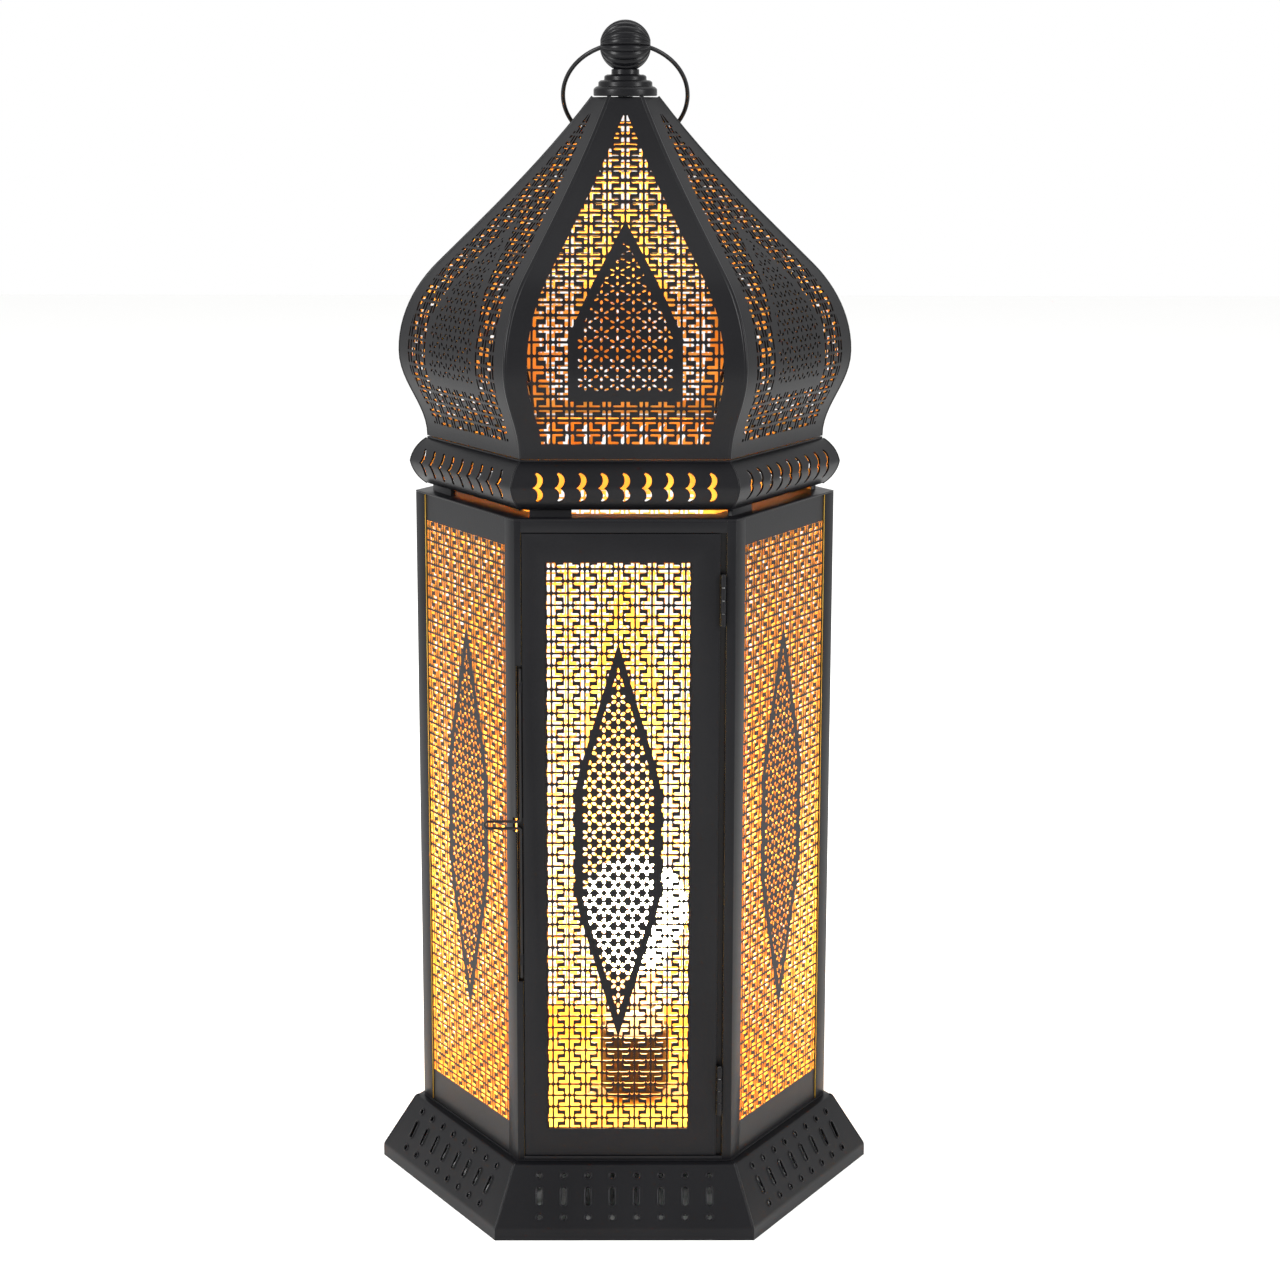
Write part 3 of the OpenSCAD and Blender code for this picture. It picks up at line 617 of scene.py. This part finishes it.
# Corners of the pointed lozenge, right half from the bottom, about its middle
lozenge = [(0, -109.2), (20.3, -41), (23.2, -28), (23.2, 28), (20.3, 41), (0, 109.2)]
lozengeLines = edgesOf(lozenge + [(-x, y) for x, y in reversed(lozenge[1:-1])])


def panelLoops(width, low, high):
    box = edgesOf([(-width / 2, low), (width / 2, low), (width / 2, high), (-width / 2, high)])
    keys = keepInside(keyHoles(keyPanel, width, low, high), lambda centre: box)
    keys = keepOutside(keys, lozengeLines)
    inner = insetLines(lozengeLines, panelShape["border"])
    reach = panelShape["flowersReach"]
    flowers = flowerHoles(flowerPanel, panelShape["flowersWidth"], -reach, reach)
    flowers = keepInside(flowers, lambda centre: inner)
    return tidyLoops(keys + flowers)


def rectangle(x0, y0, x1, y1):
    return [(x0, y0), (x1, y0), (x1, y1), (x0, y1)]


def panelSheet(name, x0, x1, z0, z1, x, loops):
    # x is where the pattern's middle line stands; heights count from the lozenge's middle
    mid = panelShape["middle"]
    bm = flatSheet(rectangle(x0 - x, z0 - mid, x1 - x, z1 - mid), loops)
    for vert in bm.verts:
        vert.co = ((vert.co.x + x) * mm, -(face - panelShape["behind"]) * mm, (vert.co.y + mid) * mm)
    return flatPiece(name, bm, panelShape["thickness"] * mm, [coat, gold, cutEdge])


def sidePanels():
    mid = panelShape["middle"]
    loops = panelLoops(panelShape["holesWidth"], panelShape["holesLow"] - mid,
                       panelShape["holesHigh"] - mid)
    half = panelBox[1].x / mm
    low, high = panelBox[0].z / mm, panelBox[1].z / mm
    names = ["front_right", "rear_right", "rear_left", "front_left"]
    first = panelSheet("grille_front_right", -half, half, low, high, 0, loops)
    made = copiesRound(first, ["grille_" + n for n in names], [60, 120, 240, 300])
    for piece, n in zip(made, names):
        place(piece, shell, "perforated_sheet", "panel_" + n)
    cableHole = ovalLoop(0, low + panelShape["grommetUp"] - mid, 2 * panelShape["grommetHole"],
                         2 * panelShape["grommetHole"], 32)
    rear = panelSheet("grille_rear", -half, half, low, high, 0, loops + [cableHole])
    rear.data.transform(turned(180))
    place(rear, shell, "perforated_sheet", "panel_rear")
    print("side panels", len(loops), "holes each")


def doorPanel():
    mid = panelShape["middle"]
    low, high = (v / mm for v in (doorBox[0].z, doorBox[1].z))
    x0, x1 = doorBox[0].x / mm, doorBox[1].x / mm
    loops = panelLoops(panelShape["doorHolesWidth"], panelShape["doorHolesLow"] - mid,
                       panelShape["doorHolesHigh"] - mid)
    piece = panelSheet("door_grille", x0, x1, low, high, (x0 + x1) / 2, loops)
    place(piece, "door", "perforated_sheet", "door_panel")
    print("door panel", len(loops), "holes")


sidePanels()
doorPanel()


# Onion dome

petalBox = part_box("petal_front")
domeShape = {
    "footIn": 6.7, "bellyOut": 8.4, "bellyUp": 47.0, "shoulderIn": 13.0, "shoulderUp": 94.0,
    "crownRadius": 18.6, "footPull": 18.0, "bellyPull": 18.0, "shoulderPull": (18.0, 36.0),
    "crownPull": 46.0, "shoulderTurn": 135.7, "crownTurn": 127.8, "steps": 12,
    "thickness": 1.0, "holesLow": 7.7, "holesHigh": 207.9, "sideMargin": 11.6,
    "ribRadius": 1.3, "ribSink": 1.25, "footGap": 0.6, "mitreGap": 0.05, "keysWidth": 140,
    "flowersWidth": 60, "flowersLow": 30, "flowersHigh": 130, "flowersUp": 73.4 % 10.1,
    "flowersAside": 0.5, "borderStep": 2,
}
# The pointed arch, right half from the bottom: (half width, length up the dome's face)
arch = [(29.5, 32.8), (29.5, 66.0), (0, 137.2)]
archBorder = 4.6


def domeLine():
    # (circumradius, height) of the dome's corner, from foot to crown
    d = domeShape
    low, high = petalBox[0].z / mm + d["footGap"], petalBox[1].z / mm

    def heading(degrees):
        return Vector((cos(radians(degrees)), sin(radians(degrees))))

    foot = Vector((bodyRadius - d["footIn"], low))
    belly = Vector((bodyRadius + d["bellyOut"], low + d["bellyUp"]))
    shoulder = Vector((bodyRadius - d["shoulderIn"], low + d["shoulderUp"]))
    crown = Vector((d["crownRadius"], high))
    up = heading(90)
    pulls = [(foot, foot + up * d["footPull"], belly - up * d["bellyPull"], belly),
             (belly, belly + up * d["bellyPull"],
              shoulder - heading(d["shoulderTurn"]) * d["shoulderPull"][0], shoulder),
             (shoulder, shoulder + heading(d["shoulderTurn"]) * d["shoulderPull"][1],
              crown - heading(d["crownTurn"]) * d["crownPull"], crown)]
    line = [foot]
    for four in pulls:
        line += interpolate_bezier(*four, d["steps"] + 1)[1:]
    return line


def domeLoops(line, lengths):
    d = domeShape

    def borderFor(centre):
        # straight stretch of the petal's curved border beside a hole, on both sides
        lines = [(Vector((0, d["holesLow"])), Vector((0, 1)))]
        step = d["borderStep"]
        s = min(max(centre.y, 1), lengths[-1] - step - 1)
        wide = [pointAt(line, lengths, at)[0] * halfPerApothem - d["sideMargin"]
                for at in (s, s + step)]
        along = Vector((wide[1] - wide[0], step)).normalized()
        lines.append((Vector((wide[0], s)), Vector((-along.y, along.x))))
        lines.append((Vector((-wide[0], s)), Vector((along.y, along.x))))
        return lines

    archLines = edgesOf([(-arch[0][0], arch[0][1])] + arch + [(-arch[1][0], arch[1][1])])
    keys = keyHoles(keyDome, d["keysWidth"], d["holesLow"], d["holesHigh"])
    keys = keepOutside(keepInside(keys, borderFor), archLines)
    inner = insetLines(archLines, archBorder)
    flowers = flowerHoles(dict(flowerDome, oddUp=d["flowersUp"]), d["flowersWidth"],
                          d["flowersLow"], d["flowersHigh"], d["flowersAside"])
    flowers = keepInside(flowers, lambda centre: inner)
    return tidyLoops(keys + flowers)


def dome():
    corner = domeLine()
    line = [(r * flat, z) for r, z in corner]
    lengths = lineLengths(line)
    loops = domeLoops(line, lengths)
    first = bentSheet("pierced_petal", mitredOutline(line, domeShape["mitreGap"]), loops, line,
                      domeShape["thickness"] * mm, [coat, gold])
    for piece, n in sideCopies(first, "pierced_petal_"):
        place(piece, shell, "perforated_sheet", "petal_" + n)
    seam = [((r - domeShape["ribSink"]) * mm, 0, z * mm) for r, z in corner]
    cornerCopies(tubeAlong("dome_rib", [seam], domeShape["ribRadius"] * mm, smoothCoat),
                 "black_coated_steel")
    print("dome", len(loops), "holes each petal")


dome()


# Bead collar

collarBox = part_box("collar_front")
collarShape = {
    "edgeIn": 6.0, "beadOut": 7.8, "lap": 8.0, "swell": 1.45, "arcSteps": 8, "waves": 9,
    "wavePitch": 11.3, "thickness": 1.0, "weldRadius": 0.5, "weldSink": 0.3, "mitreGap": 0.03,
}
# A slot like a curly bracket: radius and middles of the arcs of its right and left edges
waveShape = {"radius": 4.9, "rightX": -2.4, "rightUp": 4.1, "leftX": -5.1, "leftUp": 4.3,
             "tip": 70, "root": 45, "rightSteps": 8, "leftSteps": 6}


def waveLoop(x, s):
    w = waveShape
    r = w["radius"]
    notch = asin(w["rightUp"] / r)
    prong = asin(w["leftUp"] / r)
    tip, root = radians(w["tip"]), radians(w["root"])
    right = arcPoints(x + w["rightX"], s + w["rightUp"], r, tip, -notch, w["rightSteps"])
    right += arcPoints(x + w["rightX"], s - w["rightUp"], r, notch, -tip, w["rightSteps"])[1:]
    left = arcPoints(x + w["leftX"], s - w["leftUp"], r, -root, prong, w["leftSteps"])
    left += arcPoints(x + w["leftX"], s + w["leftUp"], r, -prong, root, w["leftSteps"])[1:]
    return right + left


def swollen(a, b, swell, steps):
    # arc from a to b that stands out to the right of the straight line by swell
    across = (b - a).normalized()
    out = Vector((across.y, -across.x))
    half = (b - a).length / 2
    r = (half * half + swell * swell) / (2 * swell)
    end = asin(half / r)
    centre = (a + b) / 2 + out * (swell - r)
    return [tuple(centre + out * r * cos(t) + across * r * sin(t))
            for t in (end * (2 * i / steps - 1) for i in range(steps + 1))]


def collar():
    c = collarShape
    low, high = collarBox[0].z / mm, collarBox[1].z / mm
    edge = (bodyRadius - c["edgeIn"]) * flat
    ridge = Vector((edge + c["beadOut"], (low + high) / 2))
    arc = swollen(Vector((edge, low)), ridge, c["swell"], c["arcSteps"])
    arc += swollen(ridge, Vector((edge, high)), c["swell"], c["arcSteps"])[1:]
    line = [(edge - c["lap"], low)] + arc + [(edge - c["lap"], high)]
    lengths = lineLengths(line)
    loops = [waveLoop((i - (c["waves"] - 1) / 2) * c["wavePitch"], lengths[-1] / 2)
             for i in range(c["waves"])]
    first = bentSheet("bead", mitredOutline(line, c["mitreGap"]), loops, line,
                      c["thickness"] * mm, [coat, gold])
    for piece, n in sideCopies(first, "bead_"):
        place(piece, shell, "black_coated_steel", "collar_" + n)
    weld = [((a / flat - c["weldSink"]) * mm, 0, z * mm) for a, z in arc]
    cornerCopies(tubeAlong("bead_weld", [weld], c["weldRadius"] * mm, coat), "black_coated_steel")
    print("collar made")


collar()


# Flared base

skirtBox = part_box("skirt_front")
baseShape = {
    "lip": 7.0, "flare": 19.0, "shelf": 14.0, "columns": 8, "pitch": 13.2, "punch": 3.5,
    "punchLength": 10.5, "thickness": 1.0, "foldRadius": 1.2, "rimRadius": 0.5, "weldRadius": 0.8,
    "weldSink": 0.75, "mitreGap": 0.04,
}


def foldedLine(points, radius, steps=3):
    # a line of points with each corner between its ends rounded
    line = [points[0]]
    for before, here, after in zip(points, points[1:], points[2:]):
        here, before, after = Vector(here), Vector(before), Vector(after)
        back = (before - here).normalized() * radius
        on = (after - here).normalized() * radius
        for i in range(steps + 1):
            t = i / steps
            line.append(tuple(here + back * (1 - t) ** 2 + on * t ** 2))
    return line + [points[-1]]


def base():
    b = baseShape
    tall = skirtBox[1].z / mm
    foot = -skirtBox[0].y / mm
    top = foot - b["flare"] * flat
    folds = [(foot, 0), (foot, b["lip"]), (top, tall), (face - b["shelf"], tall)]
    line = foldedLine(folds, b["foldRadius"])
    lengths = lineLengths(line)
    slope = hypot(tall - b["lip"], foot - top)
    start = lineLengths(foldedLine(folds[:3], b["foldRadius"]))[-1] - slope
    margin = (slope - b["punchLength"]) / 4
    loops = []
    for i in range(b["columns"]):
        x = (i - (b["columns"] - 1) / 2) * b["pitch"]
        loops += [ovalLoop(x, start + margin, b["punch"], b["punch"]),
                  ovalLoop(x, start + slope / 2, b["punch"], b["punchLength"]),
                  ovalLoop(x, start + slope - margin, b["punch"], b["punch"])]
    first = bentSheet("skirt_punched", mitredOutline(line, b["mitreGap"]), loops, line,
                      b["thickness"] * mm, [coat, coat])
    for piece, n in sideCopies(first, "skirt_punched_"):
        place(piece, shell, "black_coated_steel", "skirt_" + n)
    rims = []
    for loop in loops:
        rim = []
        for p in loop:
            apothem, height = pointAt(line, lengths, p.y)
            rim.append((p.x * mm, -apothem * mm, height * mm))
        rims.append(rim)
    burrs = tubeAlong("punch_burr", rims, b["rimRadius"] * mm, coat, closed=True, sides=2)
    for piece, n in sideCopies(burrs, "punch_burr_"):
        place(piece, shell, "black_coated_steel")
    weld = [((a / flat - b["weldSink"]) * mm, 0, z * mm) for a, z in line[:-1]]
    cornerCopies(tubeAlong("skirt_weld", [weld], b["weldRadius"] * mm, coat), "black_coated_steel")
    print("base made")


base()


# Folded strips, plates and frames

# Node: body, slot, rounding of its edges in mm
plainPieces = {
    "floor_plate": (shell, "black_coated_steel", 0.2),
    "door_surround": (shell, "black_coated_steel", 0.15),
    "top_rim": (shell, "black_coated_steel", 0.25),
    "dome_ring": (shell, "black_coated_steel", 0.2),
    "crown_plate": (shell, "black_coated_steel", 0.2),
    "door_frame": ("door", "black_coated_steel", 0.3),
    "hinge_upper_door_leaf": ("door", "black_hinge_steel", 0.1),
    "hinge_lower_door_leaf": ("door", "black_hinge_steel", 0.1),
    "hinge_upper_post_leaf": (shell, "black_hinge_steel", 0.1),
    "hinge_lower_post_leaf": (shell, "black_hinge_steel", 0.1),
    "latch_eyes": ("door", "black_hinge_steel", 0.08),
}
postNames = ["front_right", "right", "rear_right", "rear_left", "left", "front_left"]
plainPieces.update({"post_" + n: (shell, "black_coated_steel", 0.3) for n in postNames})


def stripsAndPlates():
    for node, (body, slot, edge) in plainPieces.items():
        piece = softCopy(node, coat, slot, body, edge * mm)
        goldInside(piece)
        if node == "floor_plate":
            goldOnTop(piece)
    print("strips and plates made")


stripsAndPlates()
smallEdge = 0.15 * mm
for node in ("hinge_upper_pin", "hinge_lower_pin", "finial_rod", "rod_nut", "lampholder_foot",
             "lampholder_screws"):
    softCopy(node, zinc, "zinc_steel", shell, smallEdge)
softCopy("cable_grommet", rubber, "black_rubber", shell, smallEdge)


# Latch

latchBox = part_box("latch_wire")
latchShape = {"wire": 0.8, "strands": 3.8}


def latch():
    r = latchShape["wire"]
    high = latchBox[1] / mm
    low = latchBox[0] / mm
    x, y, z = high.x - r, (high.y + low.y) / 2, (high.z + low.z) / 2
    level, bend = latchShape["strands"] / 2, 2 * r
    tip = low.x + r + level
    flatLine = [Vector((x, low.z))]
    flatLine += arcPoints(x - bend, z - level - bend, bend, 0, pi / 2, 6)
    flatLine += arcPoints(tip, z, level, 1.5 * pi, 0.5 * pi, 12)
    flatLine += arcPoints(x - bend, z + level + bend, bend, -pi / 2, 0, 6)
    flatLine.append(Vector((x, high.z)))
    line = [(p.x * mm, y * mm, p.y * mm) for p in flatLine]
    wire = tubeAlong("latch_wire_bent", [line], r * mm, wireCoat)
    place(wire, "latch", "black_wire", "latch_wire")


latch()


# Finial and carry ring

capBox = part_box("finial_cap")
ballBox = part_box("finial_ball")
finialShape = {
    "radii": [17.2, 14.6, 11.4], "heights": [5, 3.3, 3], "round": 0.65, "cove": 1.5, "neck": 7.5,
    "neckHeight": 2.9, "shoulder": 0.72, "flutes": 20, "groove": 1.1, "waver": 0.35, "wavers": 3,
    "fade": 3, "hole": 3.1, "ringRadius": 34.0, "ringWire": 1.2, "ringLean": 55.0,
}


def finialCap():
    # three turned mouldings that soften into each other, then the neck under the ball
    f = finialShape
    z = capBox[0].z / mm
    corners = [(0.0, z)]
    for r, tall in zip(f["radii"], f["heights"]):
        corners += [(r, z), (r, z + tall * f["shoulder"]), (r - f["cove"], z + tall)]
        z += tall
    corners += [(f["neck"], z), (f["neck"], z + f["neckHeight"]), (0.0, z + f["neckHeight"])]
    outline = foldedLine(corners, f["round"], 4)
    piece = lathe("finial_cap_turned", [(r * mm, h * mm) for r, h in outline], [smoothCoat], steps=96)
    place(piece, shell, "black_turned_steel", "finial_cap")


def finialBall():
    # gores like a melon's round the hole, which runs from side to side
    f = finialShape
    radius = (ballBox[1].z - ballBox[0].z) / 2 / mm
    middleZ = (ballBox[0].z + ballBox[1].z) / 2
    start = asin(f["hole"] / radius)
    outline = [(p.y, p.x) for p in arcPoints(0, 0, radius, start, pi - start, 28)]
    outline = [(f["hole"], -outline[0][1])] + outline + [(f["hole"], outline[0][1])]
    bm = bmesh.new()
    chain = [bm.verts.new((0, r, x)) for r, x in outline[1:-1]]
    edges = [bm.edges.new(pair) for pair in zip(chain, chain[1:])]
    edges.append(bm.edges.new((chain[-1], chain[0])))
    bmesh.ops.spin(bm, geom=chain + edges, cent=(0, 0, 0), axis=(0, 0, 1), angle=2 * pi,
                   steps=f["flutes"] * 8, use_merge=True)
    bmesh.ops.remove_doubles(bm, verts=bm.verts, dist=1e-4)
    bmesh.ops.recalc_face_normals(bm, faces=bm.faces)
    for vert in bm.verts:
        out = hypot(vert.co.x, vert.co.y)
        if out > f["hole"] + 0.01:
            turn = atan2(vert.co.y, vert.co.x)
            phase = abs(sin(f["flutes"] / 2 * turn + f["waver"] * sin(f["wavers"] * turn)))
            depth = f["groove"] * (1 - phase) ** 2 * min(1, (out - f["hole"]) / f["fade"])
            vert.co *= 1 - depth / radius
    bmesh.ops.rotate(bm, verts=bm.verts, cent=(0, 0, 0), matrix=Matrix.Rotation(pi / 2, 3, "Y"))
    bmesh.ops.scale(bm, verts=bm.verts, vec=(mm, mm, mm))
    bmesh.ops.translate(bm, verts=bm.verts, vec=(0, 0, middleZ))
    piece = meshObject("finial_ball_fluted", bm, [smoothCoat], 40)
    place(piece, shell, "black_turned_steel", "finial_ball")


def carryRing():
    f = finialShape
    pivot = (ballBox[0].z + ballBox[1].z) / 2 / mm
    radius = (ballBox[1].z - ballBox[0].z) / 2 / mm
    offset = f["ringRadius"] - (f["ringRadius"] - sqrt(f["ringRadius"] ** 2 - radius ** 2)) / 2
    lean = radians(f["ringLean"])
    line = []
    for p in arcPoints(0, offset, f["ringRadius"], 0, 2 * pi, 96)[:-1]:
        line.append((p.x * mm, p.y * cos(lean) * mm, (pivot - p.y * sin(lean)) * mm))
    place(tubeAlong("carry_ring_bent", [line], f["ringWire"] * mm, wireCoat, closed=True, sides=4),
          "carry_ring", "black_wire", "carry_ring")


finialCap()
finialBall()
carryRing()
print("finial and ring made")


# Lampholder and bulb

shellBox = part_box("lampholder_shell")
lampShape = {
    "wall": 2.0, "edge": 8.0, "lip": 0.6, "lipInside": 0.3, "core": 17.0, "coreDown": 1.0,
    "coreGroove": 0.4, "coreEdge": 0.8, "sleeve": 0.5, "boreEdge": 0.3, "cap": 13.2,
    "capHeight": 26.0, "capTip": 3.0, "capPlain": 8.0, "capEdge": 0.3, "capStep": 0.6,
    "threadPitch": 3.62, "threadDepth": 0.55, "threadSteps": 8, "neckPull": 14.0,
    "joinPull": 10.0, "join": -36.0,
}


def lampholder():
    s = lampShape
    x = (shellBox[0].x + shellBox[1].x) / 2
    low, high = shellBox[0].z / mm, shellBox[1].z / mm
    r = (shellBox[1].x - shellBox[0].x) / 2 / mm
    inner = r - s["wall"]
    floorUp = low + s["edge"]
    lip, inside = s["lip"], s["lipInside"]
    corner = arcPoints(r - s["edge"], floorUp, s["edge"], -pi / 2, 0, 8)
    outline = [(0, low)] + [(p.x, p.y) for p in corner]
    outline += [(r, high - lip), (r - lip, high), (inner + inside, high), (inner, high - inside),
                (inner, floorUp), (0, floorUp)]
    place(lathe("lampholder_cup", [(a * mm, z * mm) for a, z in outline], [phenolic], x), shell,
          "black_phenolic", "lampholder_shell")
    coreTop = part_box("lampholder_core")[1].z / mm
    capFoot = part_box("bulb_cap")[0].z / mm
    bore = s["cap"] + s["sleeve"]
    ledge = high - s["coreDown"]
    groove, edge, boreEdge = s["coreGroove"], s["coreEdge"], s["boreEdge"]
    outline = [(0, floorUp), (inner, floorUp), (inner, ledge - groove), (inner - groove, ledge),
               (s["core"], ledge), (s["core"], coreTop - edge), (s["core"] - edge, coreTop),
               (bore + boreEdge, coreTop), (bore, coreTop - boreEdge), (bore, capFoot), (0, capFoot)]
    place(lathe("lampholder_porcelain", [(a * mm, z * mm) for a, z in outline], [porcelain], x),
          shell, "ceramic_white", "lampholder_core")
    softCopy("lampholder_thread", brass, "brass_thread", shell, 0.1 * mm)
    ripple = []
    shoulder = capFoot + s["capTip"]
    turns = int((s["capHeight"] - s["capPlain"]) / s["threadPitch"])
    for i in range(turns * s["threadSteps"] + 1):
        turn = i / s["threadSteps"]
        ripple.append((s["cap"] - s["threadDepth"] * (1 + cos(2 * pi * turn)) / 2,
                       shoulder + turn * s["threadPitch"]))
    capTop = capFoot + s["capHeight"]
    outline = [(0, capFoot), (s["cap"] / 2, capFoot)] + ripple
    outline += [(s["cap"] - s["capEdge"], capTop - s["capEdge"]), (s["cap"] - s["capStep"], capTop),
                (0, capTop)]
    place(lathe("bulb_cap_rolled", [(a * mm, z * mm) for a, z in outline], [capMetal], x), shell,
          "bulb_cap_metal", "bulb_cap")


def bulb():
    s = lampShape
    x = (glassBox[0].x + glassBox[1].x) / 2
    low = glassBox[0].z / mm
    r = (glassBox[1].x - glassBox[0].x) / 2 / mm
    centre = glassBox[1].z / mm - r
    join = radians(s["join"])
    neck = s["cap"] - s["capStep"]
    meet = Vector((r * cos(join), centre + r * sin(join)))
    pull = meet + s["joinPull"] * Vector((sin(join), -cos(join)))
    sweep = interpolate_bezier(Vector((neck, low)), Vector((neck, low + s["neckPull"])), pull,
                               meet, 14)
    globe = arcPoints(0, centre, r, join, pi / 2, 22)
    outline = [(0, low)] + [(p.x, p.y) for p in sweep + globe[1:-1]] + [(0, centre + r)]
    place(lathe("bulb_glass_blown", [(a * mm, z * mm) for a, z in outline], [bulbGlass], x), shell,
          "bulb_glass", "bulb_glass")
    softCopy("bulb_filament", filament, "led_filament", shell, 0.1 * mm)


lampholder()
bulb()
print("lamp made")


# Room, light and camera

stageLook = {"floor": "#f7f7f6", "floorRoughness": 0.9, "floorSize": 6, "world": "#ffffff",
             "worldStrength": 1.0, "lightsAim": (0, 0, 0.3)}


def room():
    s = stageLook
    # Matt paper floor
    floor = newMaterial("paleStudioFloor", {"Base Color": hexToLinear(s["floor"]),
                                            "Roughness": s["floorRoughness"]})[0]
    bm = bmesh.new()
    bmesh.ops.create_grid(bm, x_segments=1, y_segments=1, size=s["floorSize"])
    sheet = meshObject("studio_floor", bm, [floor])
    world = bpy.data.worlds.new("studio")
    bpy.context.scene.world = world
    world.use_nodes = True
    back = world.node_tree.nodes["Background"]
    back.inputs["Color"].default_value = hexToLinear(s["world"])
    back.inputs["Strength"].default_value = s["worldStrength"]


def softLight(name, where, size, power):
    lamp = bpy.data.lights.new(name, "AREA")
    lamp.shape = "RECTANGLE"
    lamp.size, lamp.size_y = size
    lamp.energy = power
    holder = bpy.data.objects.new(name, lamp)
    bpy.context.scene.collection.objects.link(holder)
    holder.location = where
    way = Vector(stageLook["lightsAim"]) - Vector(where)
    holder.rotation_euler = way.to_track_quat("-Z", "Y").to_euler()


cameraPlace = {"lens": 78.36, "sensor": 36, "nearest": 0.05, "distance": 1.5643,
               "elevation": 11.81, "turn": -0.42, "roll": 0.13, "target": (0.00857, 0.0, 0.30683)}


def camera():
    c = cameraPlace
    eye = bpy.data.cameras.new("studio_camera")
    eye.lens = c["lens"]
    eye.sensor_width = c["sensor"]
    eye.clip_start = c["nearest"]
    holder = bpy.data.objects.new("studio_camera", eye)
    bpy.context.scene.collection.objects.link(holder)
    up, turn = radians(c["elevation"]), radians(c["turn"])
    away = Vector((sin(turn) * cos(up), -cos(turn) * cos(up), sin(up)))
    holder.location = Vector(c["target"]) + away * c["distance"]
    look = away.to_track_quat("Z", "Y").to_matrix().to_4x4()
    holder.rotation_euler = (look @ Matrix.Rotation(radians(c["roll"]), 4, "Z")).to_euler()
    bpy.context.scene.camera = holder


room()
# Place, width and height in metres, and power in watts
lights = {
    "key_softbox": ((-1.9, -1.5, 1.5), (0.5, 1.6), 110),
    "fill_softbox": ((2.0, -1.3, 1.3), (0.5, 1.6), 70),
    "top_softbox": ((0.2, 0.6, 2.8), (2.4, 2.0), 30),
}
for name, (where, size, power) in lights.items():
    softLight(name, where, size, power)
camera()
print("room, light and camera set")
bpy.context.scene.view_settings.view_transform = "Standard"
